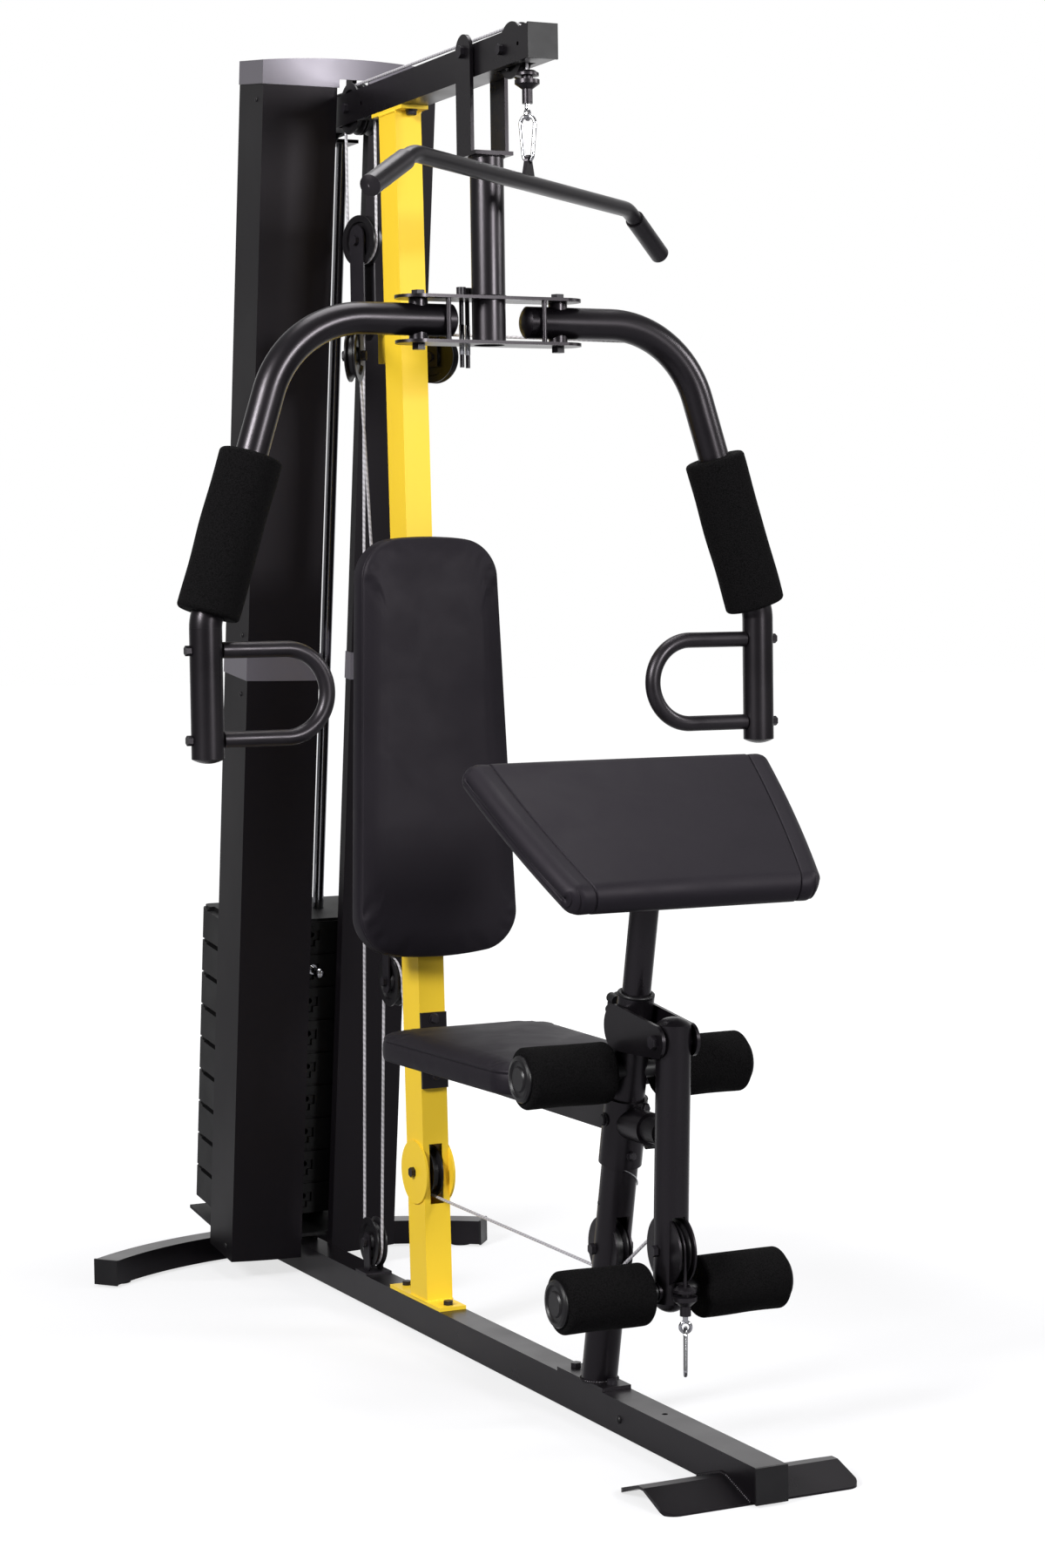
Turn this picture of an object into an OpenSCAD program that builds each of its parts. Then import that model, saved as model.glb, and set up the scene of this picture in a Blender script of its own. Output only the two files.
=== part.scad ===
// Home multi-gym with a lat pulldown station: one weight stack, top and low cable.
// Millimetres. X to the right seen from the seat front, front foot at -Y, Z up.
// Modules are written about the foot of the upright; place() moves them to the origin.

/* [Frame] */
// Width of the square frame tube across the machine
tube_w = 48; // [40:1:60]
// Height of the base and top beams
beam_h = 51; // [40:1:60]
// Wall of the frame tubes
wall = 2.5; // [1.5:0.5:4]
// Underside of the top beam above the floor
top_z = 2029; // [1900:1:2150]
// Front end of the base beam, ahead of the upright
base_front = 1120; // [1080:1:1200]
// Back end of the base beam, behind the upright
base_back = 710; // [690:1:760]
// Front end of the top beam, ahead of the upright
top_front = 478; // [450:1:520]
// Back end of the top beam, behind the upright
top_back = 445; // [430:1:480]
// Upright across the machine
upright_w = 46; // [40:1:54]
// Upright along the machine
upright_d = 68; // [60:1:76]
// How far the top of the upright leans back
upright_lean = 57; // [40:1:70]

/* [Stack] */
// Lean of rods, stack and covers, sideways per unit height
rod_lean = 0.13; // [0.11:0.005:0.15]
// Weight plate across the machine
plate_w = 300; // [280:1:310]
// Weight plate along the machine
plate_d = 178; // [150:1:185]
// Height of one weight plate
plate_h = 61.5; // [56:0.5:64]
// Half the distance between the guide rods
rod_x = 45; // [42:1:55]
// Guide rod diameter
rod_d = 20; // [16:0.5:22]

/* [Cable] */
// Pulley outer diameter
pulley_d = 86; // [80:1:90]
// Cable diameter
cable_d = 5; // [4:0.5:6]

/* [Arms] */
// Arm tube diameter
arm_d = 50; // [42:1:52]
// Height of the arms' pivots
arm_z = 1655; // [1630:1:1680]
// Half the distance between the arm pivots
arm_pivot_x = 120; // [110:1:130]
// Diameter of the foam pads on the arms
arm_foam_d = 98; // [80:1:105]

/* [Seat and pads] */
// Top of the seat above the floor
seat_z = 540; // [510:1:560]
// Seat width
seat_w = 306; // [260:1:330]
// Back pad height
back_h = 690; // [600:1:720]
// Lean of the front post, forwards per unit height
post_lean = 0.2247; // [0.2:0.005:0.25]
// Foam roller diameter
roller_d = 90; // [76:1:96]

/* [Lat bar] */
// Turn of the hanging bar about its cable
bar_turn = 39; // [0:1:45]
// Half length of the bar to its bends
bar_half = 379; // [340:1:400]

/* [Hidden] */
$fn = 48;
gap = 0.15;
run = 0.05;
seam = 0.04;
upright_y = 181.5;
base_z = 3;
base_top = base_z + beam_h;
flange = 6;
deck_z = base_top + flange;
beam_mid = top_z + beam_h / 2;
beam_top = top_z + beam_h;
up_tilt = atan(upright_lean / top_z);
lean_deg = atan(rod_lean);
post_deg = atan(post_lean);
bolt_d = 10;
pivot_d = 12;
head_d = 17;
head_h = 7;
pivot_head_d = 20;
sheet = 3;
through = 200;

// Rear leg: one arc of rectangular tube, swept forwards at its ends
leg_r = 590;
leg_arc = 39;
leg_w = 46;
leg_h = 44;
leg_z = 4;
leg_in = leg_r - leg_w / 2;
leg_mid_y = base_back + gap + leg_w / 2 + leg_in - sqrt(leg_in * leg_in - tube_w * tube_w / 4);
leg_cy = leg_mid_y - leg_r;

// Front foot: bent sheet with its ridge across the machine
foot_half = 153;
foot_run = 74;
foot_rise = 24;
foot_y = -(base_front - 86);
foot_sheet = 4;

// Stack frame, leaning with the guide rods
stack_z0 = 112;
stack_y0 = base_back - 45;
plate_count = 9;
lifted = 2;
plate_gap = 0.5;
plate_r = 16;
stack_h = plate_count * plate_h;
rod_fit = 0.8;
stem_d = 24;
stem_fit = 1.2;
cable_in = 60;
pin_d = 9.5;
pin_hole = 10.5;
pin_z = (plate_count - lifted + 0.5) * plate_h;
tray_h = 6;
tray_z = -30;
rod_bottom = tray_z + tray_h;
rod_top_z = top_z - 4;
rod_len = (rod_top_z - stack_z0) / cos(lean_deg) - rod_bottom;

// Covers in the stack frame
cover_half = plate_w / 2 + 9;
cover_inner = 30;
cover_front = -(plate_d / 2 + 66);
cover_bow = 14;
cover_side = 112;
bow_reach = 40;
cover_low = -60;
cover_mid = 1000;
band_h = 48;
cover_high = 2018;
cap_h = 38;
stay_y = 112;
stay_w = 28;
stay_low = (beam_top - stack_z0) / cos(lean_deg) + (stay_y - stay_w) * tan(lean_deg) - 2;
bow_c = (cover_half * cover_half - cover_inner * cover_inner + cover_bow * cover_bow) / (2 * cover_bow);
bow_r = sqrt(cover_inner * cover_inner + bow_c * bow_c);

// Pulleys: centre, and the radius that the cable's centreline takes
pulley_r = pulley_d / 2;
pulley_w = 18;
strap_x = pulley_w / 2 + 1;
float_drop = 150;
lift_rise = 300;
cross_d = 14;
groove_r = pulley_r - 7;
groove_w = 5.6;
hub_r = 13;
web_t = 10;
lip = 2.5;
cheek_x = 10.6;
path_r = groove_r + cable_d / 2 + 0.1;
p1_y = -(top_front - 52 - path_r);
p2_y = 225;
p2_x = 10.5;
p3_z = 1833;
float_turn = asin(p2_x / path_r);
drop_z = beam_mid + path_r * sin(lean_deg);
drop_y = stack_y0 - rod_lean * (drop_z - stack_z0);
rear_y = drop_y - path_r * cos(lean_deg);
p6_y = 145;
p6_z = 576;
p7_y = 250;
p7_z = 108;
p8_z = 272;
p8_y = upright_lean * p8_z / top_z;
p9_z = 266;
p9_y = -655;
p10_z = 298;
p10_y = -846;
swing_x = 72;
swing_y = 95;
swing_z = 1628;
mount_top = swing_z + 46;
hook_x = 292;

// Rise of the cable between the post pulley and the lever pulley
tie_run = [p9_y - p10_y, p10_z - p9_z];
tie_up = atan2(tie_run[1], tie_run[0]) + asin(2 * path_r / norm(tie_run));

// Press yoke and arms
arm_y = -278;
yoke_y = arm_y + 14;
yoke_z = beam_top - 10;
yoke_drop = 155;
yoke_top = yoke_z - yoke_drop;
yoke_plate = 5;
yoke_gap = 64;
yoke_half = 157;
yoke_r = 35;
hanger_x = tube_w / 2 + 2.5;
hanger_t = 6;
hanger_w = 54;
yoke_seat = 4;
weld_step = 0.4;
yoke_d = arm_d + 3;
stop_x = 82;
stop_d = 8;
lock_d = 7;
lock_at = [[-40, 15], [-25, 26]];
arm_in = 65;
arm_bend_r = 165;
arm_bend = 72.6;
arm_flat = 212 - arm_in;
arm_slope = 352;
knee_r = 60;
knee_bend = 90 - arm_bend;
bend_x = arm_in + arm_flat + arm_bend_r * sin(arm_bend);
knee_z = arm_z - arm_bend_r * (1 - cos(arm_bend)) - arm_slope * sin(arm_bend)
    - knee_r * cos(arm_bend);
bend_z = arm_z - arm_bend_r * (1 - cos(arm_bend));
arm_low_x = bend_x + arm_slope * cos(arm_bend) + knee_r * (1 - sin(arm_bend));
hook_z = arm_z - arm_bend_r * (1 - cos(asin((hook_x - arm_in - arm_flat) / arm_bend_r)));
lug_d = 13;
lug_len = 30;
hook_end = arm_y + arm_d / 2 + lug_len - 2;
tip_y = hook_end + 1.8;
swing_run = norm([hook_x - swing_x, swing_y - tip_y]);
swing_turn = atan((hook_x - swing_x) / (swing_y - tip_y));
swing_far = norm([swing_run, hook_z - swing_z]);
swing_lift = 90 - atan2(hook_z - swing_z, swing_run) - acos(path_r / swing_far);
foam_len = 252;
foam_start = arm_slope - foam_len - 2;
handle_d = 25;
handle_up = 1152;
handle_down = 1017;
handle_in = 270;
handle_r = (handle_up - handle_down) / 2;
arm_end_z = handle_down - handle_d / 2 - 16;
arm_low = knee_z - arm_end_z;

// Front post, seat and leg lever
post_d = 54;
post_y = -612;
post_top = 650;
curl_d = 42;
curl_low = 566;
knob_z = 622;
lever_d = 50;
lever_y = -858;
lever_z = 598;
lever_top = 622;
lever_low = 222;
lever_tilt = 2.8;
bracket_x = post_d / 2 - 1.6;
bracket_t = 5;
axle_d = 25;
upper_y = -732;
upper_z = 540;
lower_z = 238;
lower_y = lever_y + (lever_z - lower_z) * tan(lever_tilt);
roller_in = 42;
roller_out = 178;
plug_t = 7;
collar_d = 64;
collar_low = 398;
collar_high = 498;
collar_screw = 38;
stub_z = 461;
stub_d = 48;
stub_end = post_at(stub_z) - collar_d / 2 - 52;
screw_d = 8;
seat_tube = 40;
seat_t = 50;
seat_back = -118;
seat_front = -596;
seat_tube_z = seat_z - seat_t - sheet - seat_tube - 2 * gap;

// Back pad on the upright's front face
back_low = 635;
back_t = 50;
back_w_top = 244;
back_w_low = 282;

// Preacher pad: upper and lower edges of its top face
curl_w_top = 434;
curl_w_low = 312;
curl_t = 55;
curl_back_y = -725;
curl_back_z = 988;
curl_front_y = -938;
curl_front_z = 840;
curl_len = norm([curl_front_y - curl_back_y, curl_front_z - curl_back_z]);
curl_deg = atan2(curl_back_z - curl_front_z, curl_back_y - curl_front_y);

// Hanging bar and its links
bar_z = 1850;
bar_d = 25;
grip_d = 31;
grip_len = 112;
bar_end_half = bar_half + 129;
bar_drop = 59;
lat_y = p1_y - path_r;
bar_slope = atan2(bar_drop, bar_end_half - bar_half);
bar_bend_r = 70;
ball_top = top_z - 10.5;
link_len = 49.5;
low_drop = 46;
low_len = 42;
ferrule_d = 16;
stop_h = 28;
stop_r = 18;
low_stop_r = 16.5;
low_link_l = 72;
low_turn = 60;
low_tilt = 24;
link_d = 6;
link_wide = 12;
link_narrow = 7.5;
eye_r = 7.5;
eye_d = 5;
eye_z = 16;
gusset_t = 6;
gusset_r = 9;
gusset_h = 24;
gusset_hole = 10;
gusset_half = 17;
gusset_z = bar_d / 2 - 3;

// Length of the upper snap link, from its eye to the lower side of the gusset's hole
link_top = ball_top - link_len - gap - eye_z + link_d - eye_r + eye_d / 2 + 2 * gap;
link_in = link_narrow - link_d / 2;
rim_rise = link_in - sqrt(link_in * link_in - gusset_t * gusset_t / 4) + 2 * gap;
lat_link_l = link_top - (bar_z + gusset_z + gusset_h + gusset_hole / 2 - rim_rise - link_d);

function up_y(z) = upright_lean * z / top_z;
function post_at(z) = post_y - post_lean * (z - base_top);

module place() {
    translate([0, upright_y, 0]) children();
}

module in_stack() {
    translate([0, stack_y0, stack_z0]) rotate([lean_deg, 0, 0]) children();
}

module on_post(z) {
    translate([0, post_at(z), z]) rotate([post_deg, 0, 0]) children();
}

module both_sides() {
    children();
    mirror([1, 0, 0]) children();
}

// A bar along X, centred
module x_rod(d, l) {
    rotate([0, 90, 0]) cylinder(d = d, h = l, center = true);
}

// A bore along X through everything at y, z
module x_cut(y, z, d) {
    translate([0, y, z]) x_rod(d, through);
}

// A box tube along Y from y0 to y1 standing on z
module y_tube(w, h, y0, y1, z) {
    difference() {
        translate([-w / 2, y0, z]) cube([w, y1 - y0, h]);
        translate([-w / 2 + wall, y0 - 1, z + wall]) cube([w - 2 * wall, y1 - y0 + 2, h - 2 * wall]);
    }
}

// Flat bar with round ends, lying in XY
module round_bar(half, r, t) {
    translate([-half + r, -r, 0]) cube([2 * (half - r), 2 * r, t]);
    for (s = [-1, 1]) translate([s * (half - r), 0, 0]) cylinder(r = r, h = t);
}

// Shallow dome of height h over a disc
module dome(d, h, skirt = 3) {
    r = (d * d / 4 + h * h) / (2 * h);
    intersection() {
        translate([0, 0, h - r]) sphere(r = r, $fn = 64);
        translate([0, 0, -skirt]) cylinder(d = d, h = h + skirt + 1);
    }
}

module ring(d, t) {
    difference() {
        circle(d = d);
        circle(d = d - 2 * t);
    }
}

// Section of a bar: a ring of wall t, or a full disc when t is 0
module section(d, t) {
    if (t > 0)
        ring(d, t);
    else
        circle(d = d);
}

// Bent bar along +Z: each step is [straight length, bend radius, bend angle towards +X]
module bent_bar(d, t, steps, i = 0) {
    if (i < len(steps)) {
        straight = steps[i][0];
        r = steps[i][1];
        a = steps[i][2];
        translate([0, 0, seam]) linear_extrude(height = straight - 2 * seam) section(d, t);
        translate([0, 0, straight]) {
            if (a > 0)
                translate([r, 0, 0]) rotate([90, 0, 0]) rotate([0, 0, 180 - a])
                    rotate_extrude(angle = a) translate([r, 0]) section(d, t);
            translate([r * (1 - cos(a)), 0, r * sin(a)]) rotate([0, a, 0])
                bent_bar(d, t, steps, i + 1);
        }
    }
}

// Round bar from point a to point b, short of both by its end gap
module rod_between(a, b, d, short = 0.3) {
    v = b - a;
    l = norm(v);
    translate(a) rotate([0, acos(v[2] / l), atan2(v[1], v[0])])
        translate([0, 0, short]) cylinder(d = d, h = l - 2 * short);
}

// Piece of cable round a pulley in the YZ plane, from angle a0 through a
module wrap(x, y, z, a0, a) {
    translate([x, y, z]) rotate([90, 0, 90]) rotate([0, 0, a0])
        rotate_extrude(angle = a) translate([path_r, 0]) circle(d = cable_d);
}

// Grooved wheel about the Z axis
module wheel() {
    w = pulley_w / 2;
    bore = bolt_d / 2 + run;
    web = web_t / 2;
    rim = groove_r - 4;
    rotate_extrude() polygon([
        [bore, -w], [hub_r, -w], [hub_r + 2, -web], [rim - 2, -web], [rim, -w],
        [pulley_r, -w], [pulley_r, -w + lip], [groove_r, -groove_w / 2], [groove_r, groove_w / 2],
        [pulley_r, w - lip], [pulley_r, w], [rim, w], [rim - 2, web], [hub_r + 2, web],
        [hub_r, w], [bore, w]
    ]);
}

module wheel_x(x, y, z) {
    translate([x, y, z]) rotate([0, 90, 0]) wheel();
}

// Bolt along X with a hex head and nut
module x_bolt(x0, x1, y, z, d, head = head_d) {
    translate([x0, y, z]) rotate([0, 90, 0]) {
        cylinder(d = d, h = x1 - x0);
        translate([0, 0, -head_h]) cylinder(d = head, h = head_h, $fn = 6);
        translate([0, 0, x1 - x0]) cylinder(d = head, h = head_h, $fn = 6);
    }
}

// Outline with round corners, inset by d; w0 at y 0 and w1 at y l
function outline(w0, w1, l, r, d, n) = [
    for (c = [0:3], k = [0:n])
        let (
            a = c * 90 + 90 * k / n,
            w = (c < 2) ? w1 : w0,
            sx = (c == 0 || c == 3) ? 1 : -1,
            top = c < 2,
            rr = max(r - d, 1)
        )
        [sx * (w / 2 - d - rr) + rr * cos(a), (top ? l - d - rr : d + rr) + rr * sin(a)]
];

// Closed cushion from rings of [inset, height], with a crowned middle
module cushion(w0, w1, l, r, rings, crown, n = 7) {
    m = 4 * (n + 1);
    k = len(rings);
    pts = [
        for (q = rings) for (p = outline(w0, w1, l, r, q[0], n)) [p[0], p[1], q[1]],
        [0, l / 2, rings[0][1]],
        [0, l / 2, crown]
    ];
    sides = [
        for (i = [0:k - 2], j = [0:m - 1])
            let (a = i * m + j, b = i * m + (j + 1) % m, c = a + m, d = b + m)
            each [[a, c, b], [b, c, d]]
    ];
    bottom = [for (j = [0:m - 1]) [k * m, j, (j + 1) % m]];
    lid = [for (j = [0:m - 1]) [k * m + 1, (k - 1) * m + (j + 1) % m, (k - 1) * m + j]];
    polyhedron(points = pts, faces = concat(sides, bottom, lid), convexity = 6);
}

// Boxed cushion: drawn-in border between two seams, rolled edge and crown
module boxed_cushion(w0, w1, l, r, t, crown) {
    cushion(w0, w1, l, r, [
        [7, 0], [1.5, 1.5], [0, 5], [2.6, 8.5], [3.2, t * 0.45], [2.4, t - 17],
        [0, t - 13], [0.4, t - 9.5], [2.8, t - 8.8], [3.6, t - 7.5], [6, t - 3.4],
        [12, t - 0.4], [24, t + crown * 0.45], [46, t + crown * 0.8], [80, t + crown * 0.97]
    ], t + crown);
}

/* Frame */

module base_beam() {
    hole_d = 9;
    hole_in = 300;
    color("#2b282b") difference() {
        y_tube(tube_w, beam_h, -base_front, base_back, base_z);
        translate([0, -base_front + hole_in, base_top - wall - 1]) cylinder(d = hole_d, h = wall + 2);
    }
}

module front_foot() {
    low = foot_y - foot_run;
    high = foot_y + foot_run;
    flat = 8;
    edge = 3;
    hem = 12;
    corner = 22;
    color("#2b282b") difference() {
        intersection() {
            translate([-foot_half, 0, 0]) rotate([90, 0, 90]) linear_extrude(height = 2 * foot_half)
                polygon([
                    [low, 0], [low, edge], [foot_y - flat, foot_rise],
                    [foot_y + flat, foot_rise], [high, edge], [high, 0],
                    [high - hem, 0], [foot_y + flat - 1, foot_rise - foot_sheet],
                    [foot_y - flat + 1, foot_rise - foot_sheet], [low + hem, 0]
                ]);
            union() {
                translate([-foot_half + corner, low - 1, -1])
                    cube([2 * (foot_half - corner), 2 * foot_run + 2, foot_rise + 2]);
                translate([-foot_half, low + corner, -1])
                    cube([2 * foot_half, 2 * (foot_run - corner), foot_rise + 2]);
                for (sx = [-1, 1], sy = [-1, 1])
                    translate([sx * (foot_half - corner), foot_y + sy * (foot_run - corner), -1])
                        cylinder(r = corner, h = foot_rise + 2);
            }
        }
        translate([-tube_w / 2 - gap, low - 5, base_z - gap])
            cube([tube_w + 2 * gap, 2 * foot_run + 10, foot_rise]);
    }
}

module rear_leg() {
    color("#2b282b") translate([0, leg_cy, leg_z]) rotate([0, 0, 90 - leg_arc])
        rotate_extrude(angle = 2 * leg_arc) difference() {
            translate([leg_r - leg_w / 2, 0]) square([leg_w, leg_h]);
            translate([leg_r - leg_w / 2 + wall, wall]) square([leg_w - 2 * wall, leg_h - 2 * wall]);
        }
}

// Plug for a box tube: a face plate and a body inside the tube, along +Y
module plug(w, h, deep = 16) {
    face = 4;
    over = 1;
    inset = wall + gap;
    translate([-w / 2 - over, -face, -h / 2 - over]) cube([w + 2 * over, face, h + 2 * over]);
    translate([-w / 2 + inset, 0, -h / 2 + inset]) cube([w - 2 * inset, deep, h - 2 * inset]);
}

module tube_caps() {
    color("#161416") {
        translate([0, -base_front - gap, base_z + beam_h / 2]) plug(tube_w, beam_h - 2.2);
        translate([0, -top_front - gap, beam_mid]) plug(tube_w, beam_h);
        translate([0, top_back + gap, beam_mid]) rotate([0, 0, 180]) plug(tube_w, beam_h);
        for (s = [-1, 1])
            translate([0, leg_cy, leg_z + leg_h / 2]) rotate([0, 0, -s * leg_arc])
                translate([s * gap, leg_r, 0]) rotate([0, 0, s * 90]) plug(leg_w, leg_h, 9);
    }
}

module rubber_buffers() {
    pad_d = 38;
    pad_in = 4;
    color("#121012") for (s = [-1, 1])
        translate([0, leg_cy, 0]) rotate([0, 0, -s * (leg_arc - pad_in)])
            translate([0, leg_r, 0]) cylinder(d = pad_d, h = leg_z - gap);
    // buffer that the leg lever rests against
    buffer_d = stub_d - 10;
    drop = lever_z - stub_z + buffer_d / 2;
    back = lever_y + drop * tan(lever_tilt) + lever_d / 2 / cos(lever_tilt) + 0.4;
    color("#121012") translate([0, back, stub_z]) rotate([-90, 0, 0])
        cylinder(d = buffer_d, h = stub_end - gap - back);
}

module caps_and_buffers() {
    tube_caps();
    rubber_buffers();
}

module upright() {
    foot_ahead = 84;
    foot_len = 206;
    head_len = 124;
    cheek_d = 106;
    mount_w = 30;
    mount_h = 56;
    mount_back = 128;
    slot_w = 24;
    slot_h = 100;
    wide = 500;
    sink = 20;
    color("#f2cf2a") difference() {
        union() {
            intersection() {
                rotate([-up_tilt, 0, 0]) translate([-upright_w / 2, -upright_d / 2, -sink])
                    cube([upright_w, upright_d, top_z + 3 * sink]);
                translate([-wide / 2, -wide / 2, deck_z - 1]) cube([wide, wide, top_z - flange - deck_z + 2]);
            }
            translate([-tube_w / 2, up_y(0) - foot_ahead, base_top + gap]) cube([tube_w, foot_len, flange]);
            translate([-tube_w / 2, up_y(top_z) - head_len / 2, top_z - flange - gap])
                cube([tube_w, head_len, flange]);
            both_sides() translate([upright_w / 2 - 1, p8_y, p8_z]) rotate([0, 90, 0])
                cylinder(d = cheek_d, h = sheet + 1);
            // block that carries the arms' wheels
            translate([-mount_w / 2, up_y(swing_z), mount_top - mount_h])
                cube([mount_w, mount_back - up_y(swing_z), mount_h]);
        }
        intersection() {
            rotate([-up_tilt, 0, 0]) translate([-upright_w / 2 + wall, -upright_d / 2 + wall, -sink])
                cube([upright_w - 2 * wall, upright_d - 2 * wall, top_z + 3 * sink]);
            translate([-wide / 2, -wide / 2, deck_z + gap]) cube([wide, wide, top_z - 2 * flange - deck_z]);
        }
        translate([-slot_w / 2, p8_y - upright_d / 2 - sink, p8_z - slot_h / 2])
            cube([slot_w, upright_d + 3 * sink, slot_h]);
        x_cut(p8_y, p8_z, bolt_d + 2 * run);
    }
}

module top_beam() {
    slot = pulley_r + 5;
    side = 2;
    stay_t = 8;
    stay_x = tube_w / 2 - 9;
    hole_d = 7;
    color("#242124") difference() {
        union() {
            y_tube(tube_w, beam_h, -top_front, top_back, top_z);
            // stays for the cover cap
            both_sides() in_stack() translate([stay_x, -stay_y, stay_low])
                cube([stay_t, stay_w, cover_high + cap_h - 1 - stay_low]);
        }
        for (y = [p1_y, rear_y]) translate([-pulley_w / 2 - side, y - slot, top_z - 1])
            cube([pulley_w + 2 * side, 2 * slot, beam_h + 2]);
        translate([-p2_x - pulley_w / 2 - side + gap, p2_y - slot, top_z - 1])
            cube([2 * (p2_x + pulley_w / 2 + side - gap), 2 * slot, beam_h + 2]);
        for (y = [p1_y, p2_y, rear_y]) x_cut(y, beam_mid, bolt_d + 2 * run);
        x_cut(yoke_y, yoke_z, pivot_d + 2 * run);
        for (y = [-top_front + 34, p2_y - 62]) x_cut(y, beam_mid, hole_d);
    }
}

/* Stack */

module guide_rods() {
    mid_y = stack_y0 - rod_lean * (top_z - flange / 2 - stack_z0);
    edge = 20;
    deep = 56;
    cable_hole = 16;
    color("#c9c9cc") for (s = [-1, 1]) in_stack() translate([s * rod_x, 0, rod_bottom + gap])
        cylinder(d = rod_d, h = rod_len);
    // plate under the top beam that holds the rods' upper ends
    color("#242124") difference() {
        translate([-rod_x - edge, mid_y - deep / 2, top_z - flange - gap])
            cube([2 * (rod_x + edge), deep, flange]);
        in_stack() for (s = [-1, 1]) translate([s * rod_x, 0, 0])
            cylinder(d = rod_d + 2 * run, h = rod_len + through);
        in_stack() cylinder(d = cable_hole, h = rod_len + through);
        translate([-pulley_w / 2 - 3, mid_y - deep, top_z - deep]) cube([pulley_w + 6, deep, 2 * deep]);
    }
}

module stack_base() {
    tray_half = cover_half - sheet - gap;
    tray_front = cover_front + 24;
    tray_back = plate_d / 2 + 4;
    buffer_d = 58;
    wedge_t = 8;
    wedge_h = 90;
    color("#1b191b") in_stack() {
        difference() {
            translate([-tray_half, tray_front, tray_z]) cube([2 * tray_half, tray_back - tray_front, tray_h]);
            translate([0, 0, tray_z - 1]) cylinder(d = stem_d + 8, h = tray_h + 2);
        }
        for (s = [-1, 1]) translate([s * rod_x, 0, tray_z + tray_h + gap]) difference() {
            cylinder(d = buffer_d, h = -rod_bottom - 2 * gap);
            translate([0, 0, -1]) cylinder(d = rod_d + rod_fit, h = 2 - rod_bottom);
        }
    }
    // wedge plates that carry the tray on the base beam
    color("#1b191b") both_sides() intersection() {
        in_stack() translate([tube_w / 2 - wedge_t, -100, tray_z - wedge_h - gap])
            cube([wedge_t, 140, wedge_h]);
        translate([0, stack_y0 - through, base_top + gap]) cube([through, 2 * through, through]);
    }
}

// Weight plate in plan, inset by d
module plate_outline(d) {
    r = plate_r;
    x = plate_w / 2 - r;
    y = plate_d / 2 - r;
    square([2 * x, 2 * (y + r - d)], center = true);
    square([2 * (x + r - d), 2 * y], center = true);
    for (sx = [-1, 1], sy = [-1, 1]) translate([sx * x, sy * y]) circle(r = r - d);
}

module weight_plate(i) {
    h = plate_h - plate_gap;
    step_h = 5;
    step_in = 4;
    relief_in = 34;
    relief_deep = 14;
    relief_h = 8;
    mouth_w = 28;
    mouth_h = 18;
    mouth_deep = 6;
    slit_w = 10;
    front = -plate_d / 2 - 1;
    translate([0, 0, i * plate_h]) difference() {
        union() {
            linear_extrude(height = h - step_h) plate_outline(0);
            linear_extrude(height = h) plate_outline(step_in);
        }
        // finger relief along each side
        both_sides() translate([plate_w / 2 - relief_deep, -plate_d / 2 + relief_in, h - relief_h])
            cube([2 * relief_deep, plate_d - 2 * relief_in, 2 * relief_h]);
        for (s = [-1, 1]) translate([s * rod_x, 0, -1]) cylinder(d = rod_d + 2 * rod_fit, h = h + 2);
        translate([0, 0, -1]) cylinder(d = stem_d + 2 * stem_fit, h = h + 2);
        translate([0, 0, plate_h / 2]) {
            rotate([90, 0, 0]) cylinder(d = pin_hole, h = plate_d);
            // keyhole mouth on the front face
            translate([-mouth_w / 2, front, -mouth_h / 2]) cube([mouth_w, mouth_deep + 1, mouth_h]);
            translate([-slit_w / 2, front, -20]) cube([slit_w, mouth_deep + 1, 20]);
        }
    }
}

module rest_plates() {
    color("#201e20") in_stack() for (i = [0:plate_count - lifted - 1]) weight_plate(i);
}

module lifted_plates() {
    color("#201e20") in_stack() for (i = [plate_count - lifted:plate_count - 1]) weight_plate(i);
}

module selector_stem() {
    neck_z = stack_h + 42;
    neck_d = 16;
    neck_h = 34;
    washer_d = 54;
    washer_h = 9;
    color("#b9b9bd") in_stack() difference() {
        union() {
            translate([0, 0, 2]) cylinder(d = stem_d, h = neck_z - 2);
            translate([0, 0, stack_h - plate_gap + gap]) cylinder(d = washer_d, h = washer_h);
            translate([0, 0, neck_z]) cylinder(d = neck_d, h = neck_h);
        }
        for (i = [0:plate_count - 1]) translate([0, 0, (i + 0.5) * plate_h])
            rotate([90, 0, 0]) cylinder(d = pin_hole, h = 2 * stem_d, center = true);
        translate([0, 0, stack_h + cable_in]) cylinder(d = cable_d + 2 * gap, h = 2 * neck_h);
    }
}

module selector_pin() {
    flange_d = 18;
    handle_neck = 12;
    handle_len = 30;
    ball_d = 20;
    face = plate_d / 2;
    color("#d0d0d3") in_stack() translate([0, 0, pin_z]) rotate([90, 0, 0]) {
        translate([0, 0, -stem_d / 2]) cylinder(d = pin_d, h = face + stem_d / 2 + 1);
        translate([0, 0, face]) cylinder(d = flange_d, h = flange);
        translate([0, 0, face + flange]) cylinder(d = handle_neck, h = handle_len);
        translate([0, 0, face + flange + handle_len]) sphere(d = ball_d);
    }
}

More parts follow.
